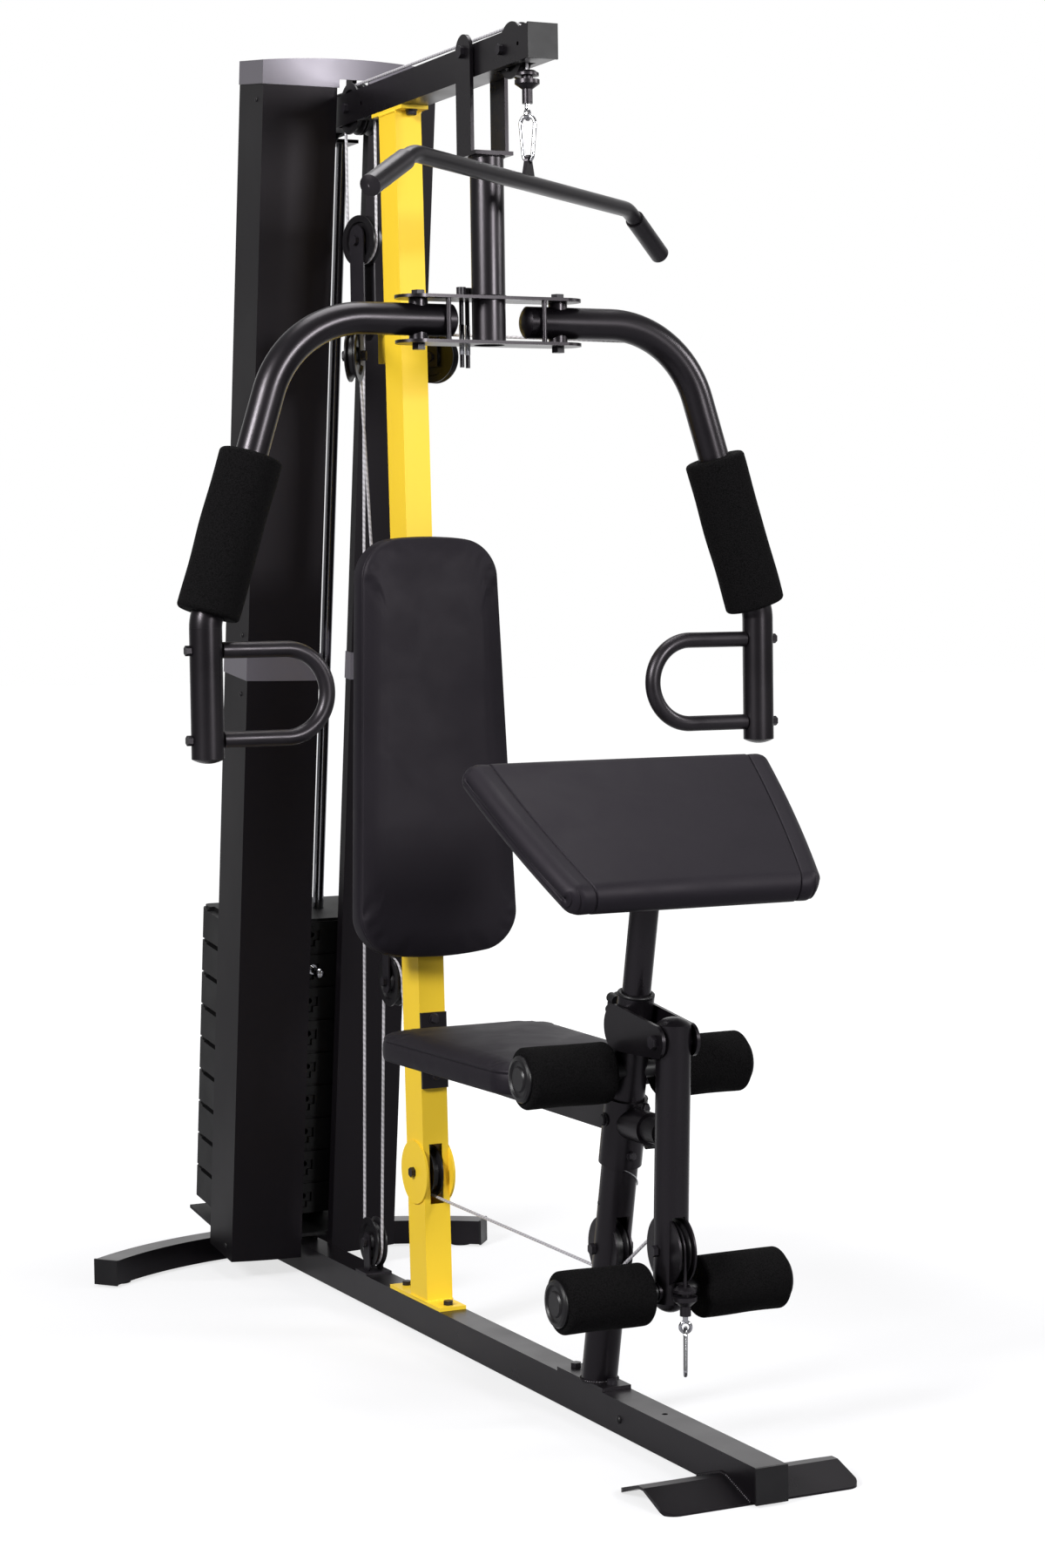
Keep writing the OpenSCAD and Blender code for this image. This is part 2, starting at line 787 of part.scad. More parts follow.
// Half of the cover's wall between two heights of the stack frame
module cover_wall(low, high, out = 0) {
    h = high - low;
    x0 = cover_inner - out;
    x1 = cover_half + out;
    corner = cover_front + cover_bow;
    hem = 22;
    intersection() {
        translate([0, cover_front + bow_c, low]) difference() {
            cylinder(r = bow_r + out, h = h, $fn = 360);
            translate([0, 0, -1]) cylinder(r = bow_r - sheet, h = h + 2, $fn = 360);
        }
        translate([x0, cover_front - bow_reach, low - 1]) cube([x1 - x0, cover_bow + 1.5 * bow_reach, h + 2]);
    }
    translate([x1 - sheet - out, corner + 1, low]) cube([sheet + out, cover_side, h]);
    translate([x0, cover_front + 1, low]) cube([sheet, hem, h]);
}

module cover_right() {
    color("#3a363a") in_stack() {
        cover_wall(cover_low, cover_mid - gap);
        cover_wall(cover_mid + band_h + gap, cover_high);
    }
}

module cover_left() {
    mirror([1, 0, 0]) cover_right();
}

module cover_bands() {
    color("#a9a8ab") both_sides() in_stack() cover_wall(cover_mid, cover_mid + band_h, 2);
}

module cover_cap() {
    z0 = cover_high + gap;
    edge = 2;
    crown_r = 1500;
    crown_h = 10;
    tall = cap_h + crown_h + 2;
    slot_h = 14;
    color("#b3b2b5") in_stack() difference() {
        intersection() {
            translate([0, cover_front + bow_c, z0]) cylinder(r = bow_r + edge, h = tall, $fn = 360);
            translate([-cover_half - edge, cover_front - bow_reach, z0])
                cube([2 * (cover_half + edge), cover_bow + bow_reach + cover_side, tall]);
            translate([0, 0, z0 + cap_h + crown_h - crown_r]) rotate([90, 0, 0])
                cylinder(r = crown_r, h = 4 * through, center = true, $fn = 360);
        }
        intersection() {
            translate([0, cover_front + bow_c, z0 - 1]) cylinder(r = bow_r - sheet, h = cap_h, $fn = 360);
            translate([-cover_half + sheet, cover_front - bow_reach, z0 - 1])
                cube([2 * (cover_half - sheet), cover_bow + bow_reach + 1 + cover_side, cap_h]);
        }
        // clearance over the top cable
        translate([-tube_w / 2 - 3, cover_front - bow_reach, z0 - 1])
            cube([tube_w + 6, 1.5 * bow_reach, slot_h + 1]);
    }
}

/* Press and butterfly arms */

module press_yoke() {
    low = arm_z - yoke_gap / 2 - yoke_plate;
    high = arm_z + yoke_gap / 2;
    tall = high - low + yoke_plate;
    bar_w = hanger_w - 2 * weld_step;
    color("#2a272a") difference() {
        union() {
            both_sides() translate([hanger_x, yoke_y, yoke_z]) rotate([90, 0, 90])
                linear_extrude(height = hanger_t) {
                    circle(d = hanger_w);
                    translate([-bar_w / 2, -yoke_drop - yoke_seat]) square([bar_w, yoke_drop + yoke_seat]);
                }
            // seat plate that joins the hangers to the tube
            translate([-hanger_x - hanger_t, arm_y - hanger_w / 2 - 2, yoke_top - hanger_t])
                cube([2 * (hanger_x + hanger_t), hanger_w + yoke_y - arm_y + 4, hanger_t]);
            translate([0, arm_y, low]) cylinder(d = yoke_d, h = yoke_top - yoke_seat - low);
            for (z = [low, high]) translate([0, arm_y, z]) round_bar(yoke_half, yoke_r, yoke_plate);
            // stop rods in front of the arms
            for (x = [-stop_x, stop_x]) translate([x, arm_y - arm_d / 2 - stop_d / 2 - 0.5, low + 1])
                cylinder(d = stop_d, h = tall - 2);
        }
        translate([0, arm_y, low - 1]) cylinder(d = yoke_d - 2 * wall, h = yoke_top - low - 8);
        translate([0, yoke_y, yoke_z]) x_rod(pivot_d + 2 * run, 4 * hanger_w);
        for (s = [-1, 1]) translate([s * arm_pivot_x, arm_y, low - 1])
            cylinder(d = pivot_d + 2 * run, h = tall + 2);
        for (p = lock_at) translate([p[0], arm_y + p[1], low - 1])
            cylinder(d = lock_d + 2 * run, h = tall + 2);
    }
}

module yoke_hardware() {
    low = arm_z - yoke_gap / 2 - yoke_plate;
    tall = yoke_gap + 2 * yoke_plate;
    bolt_head = 22;
    tail = 34;
    pin_head = 15;
    color("#a2a2a6") {
        for (s = [-1, 1]) translate([s * arm_pivot_x, arm_y, low]) {
            translate([0, 0, -head_h - 2 - gap]) cylinder(d = bolt_head, h = head_h + 2, $fn = 6);
            translate([0, 0, -1 - gap]) cylinder(d = pivot_d, h = tall + 1 + 2 * gap);
            translate([0, 0, tall + gap]) cylinder(d = bolt_head, h = head_h + 1, $fn = 6);
        }
        // the two pins that lock the arms, parked through both plates
        for (p = lock_at) translate([p[0], arm_y + p[1], low - tail]) {
            cylinder(d = lock_d, h = tall + tail + gap);
            translate([0, 0, tall + tail + gap]) cylinder(d = pin_head, h = pin_head + 1);
        }
    }
}

module arm_right() {
    hub_d = 30;
    color("#2a272a") difference() {
        union() {
            translate([arm_in, arm_y, arm_z]) rotate([0, 90, 0]) bent_bar(arm_d, wall, [
                [arm_flat, arm_bend_r, arm_bend], [arm_slope, knee_r, knee_bend], [arm_low, 1, 0]
            ]);
            translate([arm_pivot_x, arm_y, arm_z - yoke_gap / 2 + weld_step])
                cylinder(d = hub_d, h = yoke_gap - 2 * weld_step);
            // closed ends
            translate([arm_in, arm_y, arm_z]) rotate([0, -90, 0])
                translate([0, 0, gap]) dome(arm_d, 9, 0);
            translate([arm_low_x, arm_y, arm_end_z]) rotate([180, 0, 0])
                translate([0, 0, gap]) dome(arm_d, 7, 0);
            // lug that takes the end of the arm's cable
            translate([hook_x, hook_end, hook_z]) rotate([90, 0, 0]) cylinder(d = lug_d, h = lug_len);
        }
        translate([arm_pivot_x, arm_y, arm_z - through / 2]) cylinder(d = pivot_d + 2 * run, h = through);
    }
}

module arm_left() {
    mirror([1, 0, 0]) arm_right();
}

module in_slope() {
    translate([bend_x, arm_y, bend_z]) rotate([0, 90 + arm_bend, 0]) children();
}

// Foam sleeve with rolled ends about the Z axis
module foam(d, bore, l) {
    e = 5;
    rotate_extrude() polygon([
        [bore / 2, 0], [d / 2 - e, 0], [d / 2 - e * 0.3, e * 0.3], [d / 2, e],
        [d / 2, l - e], [d / 2 - e * 0.3, l - e * 0.3], [d / 2 - e, l], [bore / 2, l]
    ]);
}

module arm_foam_right() {
    color("#1a1718") in_slope() translate([0, 0, foam_start]) foam(arm_foam_d, arm_d + 2 * gap, foam_len);
}

module arm_foam_left() {
    mirror([1, 0, 0]) arm_foam_right();
}

module handle_right() {
    face = arm_low_x - arm_d / 2 - gap;
    reach = face - handle_in - handle_d / 2;
    nut_d = 16;
    color("#1d1b1d") {
        translate([face, arm_y, handle_up]) rotate([0, -90, 0]) rotate([0, 0, 180])
            bent_bar(handle_d, 0, [
                [reach - handle_r, handle_r, 180], [reach - handle_r, 1, 0]
            ]);
        for (z = [handle_down, handle_up]) translate([face + arm_d + 2 * gap, arm_y, z])
            rotate([0, 90, 0]) cylinder(d = nut_d, h = head_h + 1, $fn = 6);
    }
}

module handle_left() {
    mirror([1, 0, 0]) handle_right();
}

/* Seat, pads and leg developer */

module back_pad() {
    color("#2d2a2e") rotate([-up_tilt, 0, 0]) translate([0, -upright_d / 2 - gap, back_low])
        rotate([90, 0, 0]) boxed_cushion(back_w_low, back_w_top, back_h, 62, back_t, 6);
}

module seat_frame() {
    face = -upright_d / 2 - gap - flange;
    tube_mid = seat_tube_z + seat_tube / 2;
    reach = post_at(tube_mid) + collar_d / 2 - 8;
    plate_low = 32;
    plate_high = 54;
    stub_len = 70;
    cross_w = 210;
    cross_d = 40;
    color("#242124") difference() {
        union() {
            rotate([-up_tilt, 0, 0]) translate([-upright_w / 2, face, seat_tube_z - plate_low])
                cube([upright_w, flange, plate_low + seat_tube + plate_high]);
            y_tube(seat_tube, seat_tube, reach, face + up_y(tube_mid) + flange / 2, seat_tube_z);
            on_post(collar_low) cylinder(d = collar_d, h = (collar_high - collar_low) / cos(post_deg));
            translate([0, stub_end, stub_z]) rotate([-90, 0, 0]) cylinder(d = stub_d, h = stub_len);
            // cross bars under the seat
            for (y = [seat_back - 90, seat_front + 96])
                translate([-cross_w / 2, y - cross_d / 2, seat_tube_z + seat_tube - 0.5])
                    cube([cross_w, cross_d, sheet + 0.5]);
        }
        on_post(collar_low - 60) cylinder(d = post_d + 2 * gap, h = 300);
        on_post(collar_low + collar_screw) translate([50, 0, 0]) x_rod(screw_d + 2 * run, 100);
    }
}

module seat_pad() {
    color("#2d2a2e") translate([0, seat_front, seat_z - seat_t])
        boxed_cushion(seat_w - 26, seat_w, seat_back - seat_front, 46, seat_t - 6, 6);
}

module teardrop(r0, r1, y1, z1) {
    l = norm([y1, z1]);
    e = asin((r0 - r1) / l);
    web0 = r0 - weld_step;
    web1 = r1 - weld_step;
    rotate([90, 0, 90]) linear_extrude(height = bracket_t) {
        circle(r = r0);
        translate([y1, z1]) circle(r = r1);
        rotate(atan2(z1, y1)) polygon([
            [web0 * sin(e), web0 * cos(e)], [web0 * sin(e), -web0 * cos(e)],
            [l + web1 * sin(e), -web1 * cos(e)], [l + web1 * sin(e), web1 * cos(e)]
        ]);
    }
}

module front_post() {
    long = (post_top - base_top) / cos(post_deg);
    hub_z = 604;
    foot_ahead = 58;
    foot_len = 150;
    cheek_d = 92;
    sink = 30;
    wide = 1400;
    color("#2a272a") difference() {
        union() {
            intersection() {
                on_post(base_top - sink) cylinder(d = post_d, h = long + sink / cos(post_deg));
                translate([-through, -wide, deck_z]) cube([2 * through, wide, wide]);
            }
            translate([-tube_w / 2, post_y - foot_ahead, base_top + gap]) cube([tube_w, foot_len, flange]);
            both_sides() translate([cheek_x, p9_y, p9_z]) rotate([0, 90, 0])
                cylinder(d = cheek_d, h = sheet);
            both_sides() translate([bracket_x, post_at(hub_z), hub_z])
                teardrop(34, 24, lever_y - post_at(hub_z), lever_z - hub_z);
        }
        difference() {
            on_post(base_top - sink) cylinder(d = curl_d + 0.5, h = long + through);
            translate([-through, -wide, deck_z - through]) cube([2 * through, wide, through + gap]);
        }
        translate([0.1 - cheek_x, p9_y - 60, p9_z - 52]) cube([2 * cheek_x - 0.2, 120, 104]);
        x_cut(p9_y, p9_z, bolt_d + 2 * run);
        x_cut(upper_y, upper_z, axle_d + 2 * run);
        x_cut(lever_y, lever_z, pivot_d + 2 * run);
        on_post(knob_z) translate([0, post_d / 2, 0]) rotate([-90, 0, 0])
            cylinder(d = screw_d + 2 * run, h = 40, center = true);
    }
}

module in_lever() {
    translate([0, lever_y, lever_z]) rotate([lever_tilt, 0, 0]) children();
}

module leg_lever() {
    up = lever_top - lever_z;
    down = lever_z - lever_low;
    hub_d = 22;
    cheek_d = 100;
    color("#2a272a") difference() {
        union() {
            in_lever() {
                difference() {
                    translate([0, 0, -down]) cylinder(d = lever_d, h = up + down);
                    translate([0, 0, -down - 1]) cylinder(d = lever_d - 2 * wall, h = up + down + 2);
                }
                translate([0, 0, up]) dome(lever_d, 10);
                translate([0, 0, -down]) rotate([180, 0, 0]) dome(lever_d, 16);
                x_rod(hub_d, lever_d - 1);
            }
            translate([0, lower_y, lower_z]) x_rod(axle_d + 6, lever_d - 1);
            both_sides() translate([cheek_x, p10_y, p10_z]) rotate([0, 90, 0])
                cylinder(d = cheek_d, h = sheet);
        }
        translate([0.1 - cheek_x, p10_y - 60, p10_z - pulley_r - 1.2])
            cube([2 * cheek_x - 0.2, 120, 2 * pulley_r + 8]);
        x_cut(lever_y, lever_z, pivot_d + 2 * run);
        x_cut(lower_y, lower_z, axle_d + 2 * run);
        x_cut(p10_y, p10_z, bolt_d + 2 * run);
    }
}

// Roller axle with the dark plug that closes each roller
module roller_axle(y, z) {
    rim = 34;
    dish_out = 25;
    dish_in = 19;
    dish = plug_t - 2.5;
    translate([0, y, z]) {
        x_rod(axle_d, 2 * roller_out + 2);
        both_sides() translate([roller_out + gap, 0, 0]) rotate([0, 90, 0])
            rotate_extrude() polygon([
                [0, 0], [rim, 0], [rim, 3], [rim - 2, plug_t - 1], [dish_out + 2, plug_t], [dish_out, dish],
                [dish_in, dish], [dish_in - 2, plug_t], [0, plug_t]
            ]);
    }
}

module upper_axle() {
    color("#242224") roller_axle(upper_y, upper_z);
}

module lower_axle() {
    color("#242224") roller_axle(lower_y, lower_z);
}

module roller(y, z) {
    translate([roller_in, y, z]) rotate([0, 90, 0])
        foam(roller_d, axle_d + 2 * run, roller_out - roller_in);
}

module upper_roller_right() {
    color("#1a1718") roller(upper_y, upper_z);
}

module upper_roller_left() {
    color("#1a1718") mirror([1, 0, 0]) roller(upper_y, upper_z);
}

module lower_roller_right() {
    color("#1a1718") roller(lower_y, lower_z);
}

module lower_roller_left() {
    color("#1a1718") mirror([1, 0, 0]) roller(lower_y, lower_z);
}

module in_curl_pad() {
    translate([0, curl_back_y, curl_back_z]) rotate([curl_deg, 0, 0]) rotate([0, 0, 180]) children();
}

module curl_post() {
    rest_w = 160;
    rest_l = 130;
    rest_t = 5;
    long = 420;
    color("#2a272a") {
        intersection() {
            on_post(curl_low) difference() {
                cylinder(d = curl_d, h = long);
                translate([0, 0, -1]) cylinder(d = curl_d - 2 * wall, h = long + 2);
            }
            in_curl_pad() translate([-through, -long, -curl_t - sheet - 2 * long])
                cube([2 * through, 3 * long, 2 * long]);
        }
        in_curl_pad() translate([-rest_w / 2, curl_len / 2 - 76, -curl_t - rest_t - gap])
            cube([rest_w, rest_l, rest_t]);
    }
}

module curl_pad() {
    color("#2d2a2e") in_curl_pad() translate([0, 0, -curl_t])
        boxed_cushion(curl_w_top, curl_w_low, curl_len, 34, curl_t - 5, 5);
}

// Lobed hand knob on a screw, along +Z
module knob(screw) {
    neck_d = 22;
    neck_h = 10;
    core_d = 34;
    lobe_d = 15;
    lobe_h = 18;
    translate([0, 0, -screw]) cylinder(d = screw_d, h = screw + 4);
    cylinder(d = neck_d, h = neck_h);
    translate([0, 0, neck_h - 2]) linear_extrude(height = lobe_h) {
        circle(d = core_d);
        for (a = [0:72:288]) rotate(a) translate([lobe_d, 0]) circle(d = lobe_d);
    }
}

module post_knob() {
    color("#151315") on_post(knob_z) translate([0, post_d / 2 + gap, 0]) rotate([-90, 0, 0])
        knob((post_d - curl_d) / 2 - 0.6);
}

module collar_knob() {
    color("#151315") on_post(collar_low + collar_screw) translate([collar_d / 2 + gap, 0, 0])
        rotate([0, 90, 0]) knob((collar_d - post_d) / 2 - 0.2);
}

/* Pulleys, links and cables */

module pulley_front() {
    color("#1a181a") wheel_x(0, p1_y, beam_mid);
}

module pulley_mid_left() {
    color("#1a181a") wheel_x(-p2_x, p2_y, beam_mid);
}

module pulley_mid_right() {
    color("#1a181a") wheel_x(p2_x, p2_y, beam_mid);
}

module pulley_rear() {
    color("#1a181a") wheel_x(0, rear_y, beam_mid);
}

module in_float() {
    translate([0, p2_y, p3_z]) rotate([0, 0, float_turn]) children();
}

module pulley_float() {
    color("#1a181a") in_float() wheel_x(0, 0, 0);
}

module in_swing() {
    translate([swing_x, swing_y, swing_z]) rotate([0, 0, swing_turn]) children();
}

module pulley_arm_right() {
    color("#1a181a") in_swing() wheel_x(0, 0, 0);
}

module pulley_arm_left() {
    mirror([1, 0, 0]) pulley_arm_right();
}

module pulley_lift() {
    color("#1a181a") wheel_x(0, p6_y, p6_z);
}

module pulley_base() {
    color("#1a181a") wheel_x(0, p7_y, p7_z);
}

module pulley_low() {
    color("#1a181a") wheel_x(0, p8_y, p8_z);
}

module pulley_post() {
    color("#1a181a") wheel_x(0, p9_y, p9_z);
}

module pulley_lever() {
    color("#1a181a") wheel_x(0, p10_y, p10_z);
}

// Pair of flat bars either side of a wheel, with its bolt
module straps(y, z, low, high, w = 26) {
    both_sides() difference() {
        union() {
            translate([strap_x, y - w / 2, low]) cube([sheet, w, high - low]);
            for (e = [low, high]) translate([strap_x, y, e]) rotate([0, 90, 0]) cylinder(d = w, h = sheet);
        }
        x_cut(y, z, bolt_d + 2 * run);
    }
    x_bolt(-strap_x - sheet - gap, strap_x + sheet + gap, y, z, bolt_d);
}

module mounts_and_bolts() {
    side = tube_w / 2 + gap;
    hanger_out = hanger_x + hanger_t + gap;
    bracket_out = bracket_x + bracket_t + gap;
    arm_bar = [208, 42, 8];
    fork_w = 28;
    fork_low = 16;
    color("#3c393c") {
        for (y = [p1_y, p2_y, rear_y]) x_bolt(-side, side, y, beam_mid, bolt_d);
        x_bolt(-hanger_out, hanger_out, yoke_y, yoke_z, pivot_d, pivot_head_d);
        x_bolt(-upright_w / 2 - sheet - gap, upright_w / 2 + sheet + gap, p8_y, p8_z, bolt_d);
        x_bolt(-post_d / 2 - gap, post_d / 2 + gap, p9_y, p9_z, bolt_d);
        // floating pulley under the top beam
        in_float() {
            straps(0, 0, -float_drop, 8, 36);
            translate([0, 0, -float_drop]) x_rod(cross_d, 2 * strap_x + 1);
        }
        // lifting pulley behind the back pad
        straps(p6_y, p6_z, p6_z - 8, p6_z + lift_rise);
        translate([0, p6_y, p6_z + lift_rise]) x_rod(cross_d, 2 * strap_x + 1);
        // base pulley on the base beam
        straps(p7_y, p7_z, base_top + gap + 15, p7_z + 4);
        translate([-tube_w / 2, p7_y - tube_w / 2, base_top + gap]) cube([tube_w, tube_w, 4]);
        // lever pivot
        x_bolt(-bracket_out, bracket_out, lever_y, lever_z, pivot_d, pivot_head_d);
        // bolts of the foot plates
        for (y = [up_y(0) - 66, up_y(0) + 104, post_y - 44, post_y + 76])
            translate([0, y, deck_z + 2 * gap]) cylinder(d = head_d, h = head_h, $fn = 6);
        // swivel pulleys behind the upright
        translate([-arm_bar[0] / 2, swing_y - 9, mount_top + gap]) cube(arm_bar);
        both_sides() in_swing() {
            for (s = [-1, 1]) difference() {
                translate([s * (strap_x + sheet / 2) - sheet / 2, -fork_w / 2, -fork_low])
                    cube([sheet, fork_w, mount_top - swing_z + fork_low]);
                x_cut(0, 0, bolt_d + 2 * run);
            }
            translate([-strap_x - sheet, -fork_w / 2, pulley_r + 0.6])
                cube([2 * (strap_x + sheet), fork_w, 4]);
            translate([0, 0, pulley_r + 2]) cylinder(d = cross_d, h = 20);
            x_bolt(-strap_x - sheet - gap, strap_x + sheet + gap, 0, 0, bolt_d);
        }
    }
}

// Two rubber stops on a cable's end and the ferrule below them, along -Z
module cable_stop(r, l) {
    bore = cable_d / 2 + 1;
    end = ferrule_d / 2;
    rotate_extrude() polygon([
        [bore, 0], [r * 0.65, 0], [r, -4], [r, -8], [r / 2, -9], [r / 2, -13], [r + 1, -14],
        [r + 1, -20], [end, -stop_h], [end, -l], [bore, -l]
    ]);
}

// Pear-shaped snap link of length l along +Z, wide end first
module snap_link(l) {
    far = l - link_wide - link_narrow - link_d;
    e = asin((link_wide - link_narrow) / far);
    translate([-link_wide * cos(e), 0, link_wide + link_d / 2 + link_wide * sin(e)]) rotate([0, e, 0])
        bent_bar(link_d, 0, [
            [far * cos(e), link_narrow, 180 - 2 * e], [far * cos(e), link_wide, 180 + 2 * e]
        ]);
}

// Eye with a snap link of length l hanging from it along -Z, swung aside by tilt
module eye_and_link(l, tilt) {
    translate([0, 0, -eye_z]) {
        rotate([0, 90, 0]) rotate_extrude() translate([eye_r, 0]) circle(d = eye_d);
        translate([0, 0, eye_r]) cylinder(d = eye_d + 3, h = eye_z - eye_r);
        translate([0, 0, link_d - eye_r + eye_d / 2 + 2 * gap]) rotate([180, tilt, 0]) snap_link(l);
    }
}

module lat_link() {
    color("#18161a") translate([0, lat_y, ball_top]) cable_stop(stop_r, link_len);
}

module lat_swivel() {
    color("#c4c4c8") translate([0, lat_y, ball_top - link_len - gap]) rotate([0, 0, bar_turn - 90])
        eye_and_link(lat_link_l, 0);
}

module in_bar() {
    translate([0, lat_y, bar_z]) rotate([0, 0, bar_turn]) children();
}

module lat_bar() {
    tail = norm([bar_drop, bar_end_half - bar_half]);
    cut = bar_bend_r * tan(bar_slope / 2);
    color("#242224") in_bar() {
        translate([-bar_end_half, 0, -bar_drop]) rotate([0, 90 - bar_slope, 0]) bent_bar(bar_d, 0, [
            [tail - cut, bar_bend_r, bar_slope], [2 * (bar_half - cut), bar_bend_r, bar_slope],
            [tail - cut, 1, 0]
        ]);
        // gusset that takes the snap link
        translate([0, gusset_t / 2, gusset_z]) rotate([90, 0, 0]) linear_extrude(height = gusset_t)
            difference() {
                union() {
                    translate([0, gusset_h]) circle(r = gusset_r);
                    polygon([
                        [-gusset_half, 0], [gusset_half, 0],
                        [gusset_r - 1, gusset_h + 2], [1 - gusset_r, gusset_h + 2]
                    ]);
                }
                translate([0, gusset_h]) circle(d = gusset_hole);
            }
    }
}

module lat_grips() {
    tail = norm([bar_drop, bar_end_half - bar_half]);
    color("#151315") in_bar() both_sides() translate([bar_half, 0, 0]) rotate([0, 90 + bar_slope, 0])
        translate([0, 0, tail - grip_len]) difference() {
            union() {
                cylinder(d = grip_d, h = grip_len + 2);
                translate([0, 0, grip_len + 2]) dome(grip_d, 3, 0.5);
            }
            translate([0, 0, -1]) cylinder(d = bar_d + 2 * run, h = grip_len + 1.2);
        }
}

module low_link() {
    front = p10_y - path_r;
    side = lever_d / 2 + gap;
    top = p10_z - low_drop;
    color("#3c393c") x_bolt(-side, side, p10_y, p10_z, bolt_d);
    color("#18161a") translate([0, front, top]) cable_stop(low_stop_r, low_len);
    color("#d8d4d8") {
        wrap(0, p10_y, p10_z, 90 - tie_up, 90 + tie_up - 0.2);
        translate([0, front, top - stop_h + 4]) cylinder(d = cable_d, h = low_drop + stop_h - 4 - 0.2);
    }
    color("#c4c4c8") translate([0, front, top - low_len - gap]) rotate([0, 0, low_turn])
        eye_and_link(low_link_l, low_tilt);
}

module cables_fixed() {
    up = beam_mid + path_r;
    float_y = path_r * cos(float_turn);
    color("#d8d4d8") {
        wrap(0, p1_y, beam_mid, 90, 90);
        rod_between([0, p1_y, up], [-p2_x, p2_y, up], cable_d);
        wrap(-p2_x, p2_y, beam_mid, 0, 90);
        rod_between([-p2_x, p2_y + path_r, beam_mid], [-p2_x, p2_y + float_y, p3_z], cable_d);
        in_float() wrap(0, 0, 0, 180, 180);
        rod_between([p2_x, p2_y - float_y, p3_z], [p2_x, p2_y - path_r, beam_mid], cable_d);
        wrap(p2_x, p2_y, beam_mid, 90, 90);
        rod_between([p2_x, p2_y, up], [0, rear_y, up], cable_d);
        wrap(0, rear_y, beam_mid, lean_deg, 90 - lean_deg);
        rod_between([0, p2_y, p3_z - float_drop - cross_d / 2 - 0.3], [0, p7_y + path_r, p7_z], cable_d);
        wrap(0, p7_y, p7_z, 180, 180);
        rod_between([0, p7_y - path_r, p7_z], [0, p6_y + path_r, p6_z], cable_d);
        wrap(0, p6_y, p6_z, 0, 180);
        rod_between([0, p6_y - path_r, p6_z], [0, p8_y + path_r, p8_z], cable_d);
        wrap(0, p8_y, p8_z, 270, 90);
        rod_between([0, p8_y, p8_z - path_r], [0, p9_y, p9_z - path_r], cable_d);
        wrap(0, p9_y, p9_z, 270 - tie_up, tie_up);
        both_sides() in_swing() wrap(0, 0, 0, 0, 90 + swing_lift);
        both_sides() rod_between(
            [swing_x - path_r * sin(swing_turn), swing_y + path_r * cos(swing_turn), swing_z],
            [4.5, p6_y, p6_z + lift_rise + cross_d / 2 + 0.2], cable_d
        );
    }
}

module cables_stack() {
    l = stack_h + cable_in + 2;
    color("#d8d4d8") {
        rod_between(
            [0, drop_y, drop_z],
            [0, stack_y0 - l * sin(lean_deg), stack_z0 + l * cos(lean_deg)], cable_d
        );
        rod_between([0, lat_y, beam_mid], [0, lat_y, ball_top - stop_h / 2], cable_d);
    }
}

module cables_work() {
    color("#d8d4d8") {
        rod_between(
            [0, p9_y - path_r * sin(tie_up), p9_z - path_r * cos(tie_up)],
            [0, p10_y + path_r * sin(tie_up), p10_z + path_r * cos(tie_up)], cable_d
        );
        both_sides() rod_between(
            [
                swing_x + path_r * sin(swing_lift) * sin(swing_turn),
                swing_y - path_r * sin(swing_lift) * cos(swing_turn),
                swing_z + path_r * cos(swing_lift)
            ],
            [hook_x, tip_y, hook_z], cable_d
        );
    }
}

place() base_beam();
place() front_foot();
place() rear_leg();
place() caps_and_buffers();
place() upright();
place() top_beam();
place() guide_rods();
place() stack_base();
place() rest_plates();
place() lifted_plates();
place() selector_stem();
place() selector_pin();
place() cover_left();
place() cover_right();
place() cover_bands();
place() cover_cap();
place() press_yoke();
place() yoke_hardware();
place() arm_left();
place() arm_right();
place() arm_foam_left();
place() arm_foam_right();
place() handle_left();
place() handle_right();
place() back_pad();
place() seat_frame();
place() seat_pad();
place() front_post();
place() leg_lever();
place() upper_axle();
place() lower_axle();
place() upper_roller_left();
place() upper_roller_right();
place() lower_roller_left();
place() lower_roller_right();
place() curl_post();
place() curl_pad();
place() post_knob();
place() collar_knob();
place() pulley_front();
place() pulley_mid_left();
place() pulley_mid_right();
place() pulley_rear();
place() pulley_float();
place() pulley_arm_left();
place() pulley_arm_right();
place() pulley_lift();
place() pulley_base();
place() pulley_low();
place() pulley_post();
place() pulley_lever();
place() mounts_and_bolts();
place() lat_link();
place() lat_swivel();
place() lat_bar();
place() lat_grips();
place() low_link();
place() cables_fixed();
place() cables_stack();
place() cables_work();
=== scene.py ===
"""Looks of a home multi-gym with a lat pulldown station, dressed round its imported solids."""
import math

import bmesh
import bpy
import numpy as np
from bpy.props import FloatProperty, FloatVectorProperty, PointerProperty
from mathutils import Matrix, Vector


